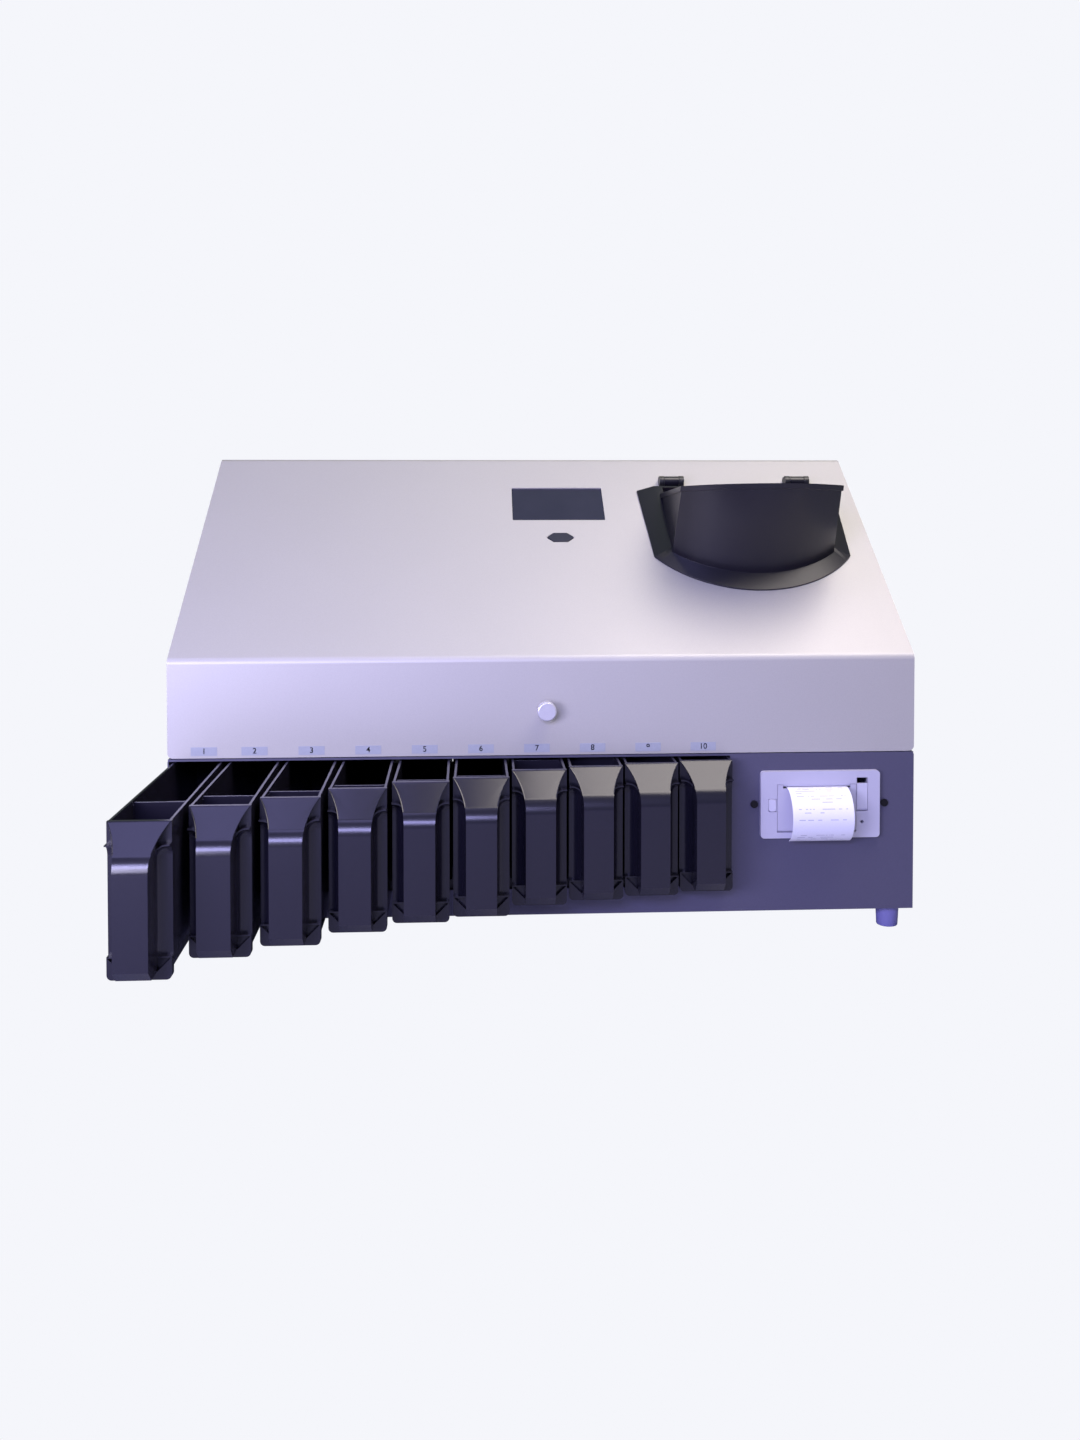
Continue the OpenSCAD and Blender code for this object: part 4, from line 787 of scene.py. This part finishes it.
# %% Drawer: the pull
ARC_SIDES = 192
flare_out = half - RIB_W / 2
arc_r = (flare_out ** 2 + FLARE_H ** 2) / (2 * flare_out)
flare_z = DRAWER_H - FLARE_H
head_low = flare_z + EDGE_R / 2
head_slope = math.atan2(DRAWER_H - head_low, REACH)
head_normal = Vector((0, -math.sin(head_slope), math.cos(head_slope)))
pull = block("drawer_pull", (-half, -REACH, PLINTH_LOW), (half, PULL_ROOT, DRAWER_H))
slice_off(pull, (0, 0, DRAWER_H), head_normal)
slice_off(pull, (0, -REACH, RIB_FOOT), (0, PLINTH_LOW - RIB_FOOT, PLINTH_T - REACH))
round_edges(pull, lambda e: runs_across(e) and abs(e.verts[0].co.z - head_low * MM) < MM, EDGE_R, 8)
for side in (-1, 1):
    x = side * (RIB_W / 2 + arc_r)
    beside = rod("arc", arc_r, (x, -REACH - SPARE, flare_z), (x, SPARE, flare_z), ARC_SIDES)
    low, high = sorted((side * RIB_W / 2, side * DRAWER_W))
    combine(beside, block("side", (low, -REACH - SPARE, 0), (high, SPARE, flare_z)))
    combine(pull, beside, "DIFFERENCE")
tidy_solid(pull, 0.01)
print("the head slopes at", round(math.degrees(head_slope), 1), "degrees")

# %% [markdown]
# The slanted head is framed by a fine raised border, and its face is two shallow facets that meet in a seam.
# An inset gives the border, and lifting the middle edge of the sunken face by a fraction of a millimetre tips
# the facets, which is enough to break the reflection of the lamps in two.

# %% Drawer: the framed head
BORDER, SUNK, RIDGE = 1.1, 0.45, 0.45
FACES_HEAD, HEAD_AREA = 0.999, 1e-4


def is_head(face):
    return face.normal.dot(head_normal) > FACES_HEAD


def is_seam(edge):
    return all(abs(v.co.x) < TOUCHING for v in edge.verts)


with editing(pull) as mesh:
    faces = pick(pull, mesh.faces, lambda f: is_head(f) and f.calc_area() > HEAD_AREA)
    bpy.ops.mesh.inset(thickness=BORDER * MM)
    bpy.ops.transform.translate(value=-head_normal * SUNK * MM)
    bpy.ops.mesh.bisect(plane_co=(0, 0, 0), plane_no=(1, 0, 0))
with editing(pull, "EDGE") as mesh:
    seams = pick(pull, mesh.edges, lambda e: is_seam(e) and sum(map(is_head, e.link_faces)) == 2)
    bpy.ops.transform.translate(value=head_normal * RIDGE * MM)
print(faces, "head face framed,", seams, "seam")

# %% Drawer: one moulding
drawer = tub
combine(drawer, plate)
combine(drawer, pull)
tidy_solid(drawer)
finish_edges(drawer, 0.7, 3, 30)
print("drawer has", len(drawer.data.polygons), "faces")

# %% [markdown]
# Four fine upright ribs in each tub hold its divider. They are joined to each copy and not to the model,
# because every divider stands at a place of its own.

# %% Ten drawers, each with its divider's guides
GUIDE, GUIDE_SINK, GUIDE_BELOW_TOP = 1.2, 0.2, 2
drawers = sorted(node for node in NODES if node.startswith("coin_drawer"))
for node in drawers:
    low, high = [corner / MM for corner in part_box(node)]
    origin = Vector(((low.x + high.x) / 2, low.y + REACH, low.z))
    divider = node.replace("coin_drawer", "drawer_divider")
    divider_low, divider_high = [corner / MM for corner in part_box(divider)]
    made = shift(copy_of(drawer, node + "_moulding"), *origin)
    guides = []
    for y in (divider_low.y - CLEAR / 2 - GUIDE / 2, divider_high.y + CLEAR / 2 + GUIDE / 2):
        along = (y - origin.y - FRONT_T) / (DRAWER_LEN - FRONT_T)
        reach = front_half - WALL - TAPER * along
        for side in (-1, 1):
            x = origin.x + side * reach
            guides.append(block("guide", (x - GUIDE, y - GUIDE / 2, origin.z + LIFT + WALL - GUIDE_SINK),
                                (x + GUIDE, y + GUIDE / 2, divider_high.z - GUIDE_BELOW_TOP)))
    for guide in guides:
        finish_edges(guide, 0.3)
    only(made, *guides)
    bpy.ops.object.join()
    even_shading(made, 30)
    settle(made, node, BLACK)
    soften(divider, BLACK, 0.4)
bpy.data.objects.remove(drawer)
print(len(drawers), "drawers")

# %% [markdown]
# ## Pieces taken over from the frame
# Most other pieces already have their true shape. The ones that show get their sharp edges broken, because a
# moulded or cut edge is never knife-sharp and its highlight is what makes it read as a real part. The ones
# inside the case keep the frame's mesh and only get their finish.

# %% Finishes of the pieces inside and outside
EDGED = {
    "base_pan": (SLATE, 0.5), "front_panel": (SLATE, 0.35), "rear_panel": (SLATE, 0.3),
    "printer_fascia": (PALE, 0.7), "printer_door": (PALE, 0.4), "release_lever": (PALE_LIGHT, 0.5),
    "feed_button": (PALE_LIGHT, 0.5), "panel_screws": (BLACK_STEEL, 0.4), "pull_knob": (KNOB, 0.8),
    "feet": (FOOT, 0.8), "menu_key": (KEY, 0.3), "hopper_hinge_blocks": (INLET, 0.5),
    "power_inlet": (INLET, 0.5), "power_switch": (INLET, 0.4), "display_window": (GLASS, 0.2),
}
# The drawer tray's near-black coat is painted shade in the gaps between the drawers.
KEPT = {
    "drawer_tray": TRAY_AS_GAP_SHADE, "sorting_deck": ZINC, "deck_sides": ZINC, "coin_rail": GROUND, "coin_ring": DARK,
    "coin_chutes": DARK, "belt_bracket": ZINC, "drive_belt": BELT, "belt_motor": MOTOR, "disc_motor": MOTOR,
    "power_supply": CASE, "control_board": BOARD, "printer_body": PALE, "hinge_fixed_leaves": ZINC,
    "hinge_moving_leaves": ZINC, "display_module": BOARD, "key_switch": DARK, "feed_disc": DISC,
    "drive_pulley": WHEEL, "idler_pulley": WHEEL, "channel_labels": LABEL,
}
for node, (finish, width) in EDGED.items():
    soften(node, finish, width)
for node, finish in KEPT.items():
    coat(NODES[node], finish)
print(len(EDGED), "pieces with broken edges,", len(KEPT), "with a finish alone")

# %% [markdown]
# ## The receipt
# The receipt hangs out of the slot in a loose curl. It is thermal paper: bright, slightly uneven, with rows
# of grey marks. The rows are found from the angle round the curl, so they follow the paper, and a coarse
# noise along each row breaks it into marks of different lengths.

# %% Paper finish
receipt_low, receipt_high = [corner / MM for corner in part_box("receipt_paper")]
CURL_R, PAPER_T, FASCIA_PROUD, SLOT_SET_BACK = 25, 0.4, 5, 0.5
curl_y = base_plane - FASCIA_PROUD + SLOT_SET_BACK
curl_z = receipt_high.z - PAPER_T / 2 - CURL_R
ROW_DEG, ROW_SHARE, ROWS_BLANK, PRINT_HALF_W = 7.5, 0.22, 0.3, 23
MARKS_PER_M, NEXT_ROW, MARK_SHARE, INK_DEPTH = 130, 3.7, 0.5, 0.75
PAPER_DARK, PAPER_LIGHT, PAPER_INK = (0.80, 0.80, 0.92, 1), (0.88, 0.88, 0.98, 1), (0.30, 0.30, 0.42, 1)


def printed_paper():
    finish = Finish("thermal_paper", {"Specular IOR Level": 0.25})
    split = finish.node("ShaderNodeSeparateXYZ", inputs=[finish.place()])
    x, y, z = [Wire(finish, split.socket.node.outputs[i]) for i in range(3)]
    angle = (z - curl_z * MM).math("ARCTAN2", curl_y * MM - y) * (180 / math.pi)
    row = angle / ROW_DEG
    number = row.math("FLOOR")
    in_row = row.math("FRACT").below(ROW_SHARE)
    spots = finish.node("ShaderNodeCombineXYZ", inputs=[x * MARKS_PER_M, number * NEXT_ROW, 0.0])
    marks = finish.node("ShaderNodeTexNoise", inputs={"Vector": spots, "Scale": 1.0, "Detail": 2})
    marks = marks.above(MARK_SHARE)
    middle = (receipt_low.x + receipt_high.x) / 2 * MM
    inside = (x - middle).math("ABSOLUTE").below(PRINT_HALF_W * MM)
    printed = finish.node("ShaderNodeTexWhiteNoise", {"noise_dimensions": "1D"}, {"W": number})
    ink = in_row * marks * inside * printed.above(ROWS_BLANK)
    fibre = finish.noise(700, 2)
    paper = finish.blend(fibre, PAPER_DARK, PAPER_LIGHT)
    finish.feed("Base Color", finish.blend(ink * INK_DEPTH, paper, PAPER_INK))
    finish.feed("Roughness", 0.62 + fibre * 0.1)
    return finish.material


PAPER = printed_paper()
coat(NODES["receipt_paper"], PAPER)
ROLL = moulded("plain_paper", (0.80, 0.80, 0.86), roughness=0.7, relief=0.02)
coat(NODES["paper_roll"], ROLL)
print("receipt curls round", round(curl_z, 1), "mm above the floor")

# %% [markdown]
# ## Channel numbers
# Each drawer's strip label is printed with the number of its channel. The figures are text objects that are
# turned into thin meshes and laid on the film.

# %% Numbers on the labels
FIGURE_H, FIGURE_T, FIGURE_BOLD, FIGURE_SHARE, FIRST_SHIFT = 5.2, 0.04, 0.08, 0.7, 6
label_low, label_high = [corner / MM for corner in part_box("channel_labels")]
drawer_boxes = [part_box(node) for node in drawers]
for index, (low, high) in enumerate(drawer_boxes):
    centre = (low.x + high.x) / 2 / MM + (FIRST_SHIFT if index == 0 else 0)
    bpy.ops.object.select_all(action="DESELECT")
    bpy.ops.object.text_add(location=(0, 0, 0))
    figure = bpy.context.object
    figure.data.body = str(index + 1)
    figure.data.align_x = figure.data.align_y = "CENTER"
    figure.data.size = FIGURE_H * MM / FIGURE_SHARE
    figure.data.offset = FIGURE_BOLD * MM
    figure.data.extrude = FIGURE_T / 2 * MM
    only(figure)
    bpy.ops.object.convert(target="MESH")
    figure = bpy.context.object
    figure.name = figure.data.name = f"channel_number_{index + 1:02d}"
    figure.data.transform(Matrix.Rotation(math.radians(90), 4, "X"))
    shift(figure, centre, label_low.y + FIGURE_T / 2, (label_low.z + label_high.z) / 2)
    add_trim(figure, "lid", INK)
print(len(drawer_boxes), "channel numbers")

# %% [markdown]
# ## Light and floor
# The studio is a white room with five soft lamps. A large warm one over the right end gives the slope its
# sheen. A lavender one close by on the left and a long blue one high in front light the upright front and the
# drawers. A faint blue one hangs over the left, and a weak greenish one over the back.
#
# The camera sees the floor and the room as one pale colour, so that the machine stands free. Light that
# bounces meets a darker floor and a dim room instead, or the black plastic would turn grey.

# %% Floor
ROOM, FLOOR_COLOUR = (0.913, 0.921, 0.965, 1), (0.40, 0.40, 0.50, 1)
FLOOR_SIZE, FLOOR_DROP = 12, 0.0005


def camera_split(tree, surface, out_kind):
    """Shows the room's even colour to the camera, and another surface to every bounce of light."""
    on_material = out_kind == "ShaderNodeOutputMaterial"
    seen = tree.nodes.new("ShaderNodeEmission" if on_material else "ShaderNodeBackground")
    seen.inputs["Color"].default_value = ROOM
    path = tree.nodes.new("ShaderNodeLightPath")
    mix = tree.nodes.new("ShaderNodeMixShader")
    out = tree.nodes.new(out_kind)
    tree.links.new(path.outputs["Is Camera Ray"], mix.inputs[0])
    tree.links.new(surface.outputs[0], mix.inputs[1])
    tree.links.new(seen.outputs[0], mix.inputs[2])
    tree.links.new(mix.outputs[0], out.inputs["Surface"])


def pale_floor():
    material = bpy.data.materials.new("pale_floor")
    material.use_nodes = True
    tree = material.node_tree
    tree.nodes.clear()
    matt = tree.nodes.new("ShaderNodeBsdfDiffuse")
    matt.inputs["Color"].default_value = FLOOR_COLOUR
    camera_split(tree, matt, "ShaderNodeOutputMaterial")
    return material


bpy.ops.object.select_all(action="DESELECT")
bpy.ops.mesh.primitive_plane_add(size=FLOOR_SIZE, location=(0, 0, -FLOOR_DROP))
floor = bpy.context.object
floor.name = "floor"
floor.data.materials.append(pale_floor())
print("floor is", FLOOR_SIZE, "m wide")

# %% Room
DIM_COLOUR, DIM_STRENGTH = (0.80, 0.95, 0.80, 1), 0.162
world = bpy.data.worlds.new("room")
bpy.context.scene.world = world
world.use_nodes = True
tree = world.node_tree
tree.nodes.clear()
dim = tree.nodes.new("ShaderNodeBackground")
dim.inputs["Color"].default_value = DIM_COLOUR
dim.inputs["Strength"].default_value = DIM_STRENGTH
camera_split(tree, dim, "ShaderNodeOutputWorld")
bpy.context.scene.view_settings.view_transform = "Standard"
print("room lit at", DIM_STRENGTH)


# %% Lamps
def lamp(name, colour, watts, place, target, size):
    """A soft rectangular lamp that points at a target."""
    data = bpy.data.lights.new(name, "AREA")
    data.shape = "RECTANGLE"
    data.size, data.size_y = size
    data.color = colour
    data.energy = watts
    made = bpy.data.objects.new(name, data)
    bpy.context.scene.collection.objects.link(made)
    made.location = place
    made.rotation_euler = (Vector(target) - Vector(place)).to_track_quat("-Z", "Y").to_euler()
    made.visible_camera = False
    return made


# Each lamp: colour, watts, place, the point that it faces, and its two sides in metres.
LAMPS = {
    "key_right": ((1.0, 0.915, 0.86), 14, (0.48, -0.25, 1.35), (0.25, 0, 0.3), (0.85, 0.75)),
    "near_left": ((0.72, 0.69, 1.0), 12, (-0.75, -1.05, 0.40), (-0.2, -0.06, 0.2), (0.5, 0.4)),
    "front_left": ((0.50, 0.48, 1.0), 20, (-0.45, -1.8, 0.95), (-0.2, -0.1, 0.2), (0.8, 0.30)),
    "top_left": ((0.45, 0.43, 1.0), 4.5, (-0.55, -0.6, 1.6), (-0.2, 0, 0.2), (0.9, 0.5)),
    "back_top": ((0.80, 1.0, 0.65), 1.0, (0.2, 0.6, 1.9), (0.1, 0, 0.3), (1.2, 1.2)),
}
for name, settings in LAMPS.items():
    lamp(name, *settings)
print(len(LAMPS), "lamps in place")
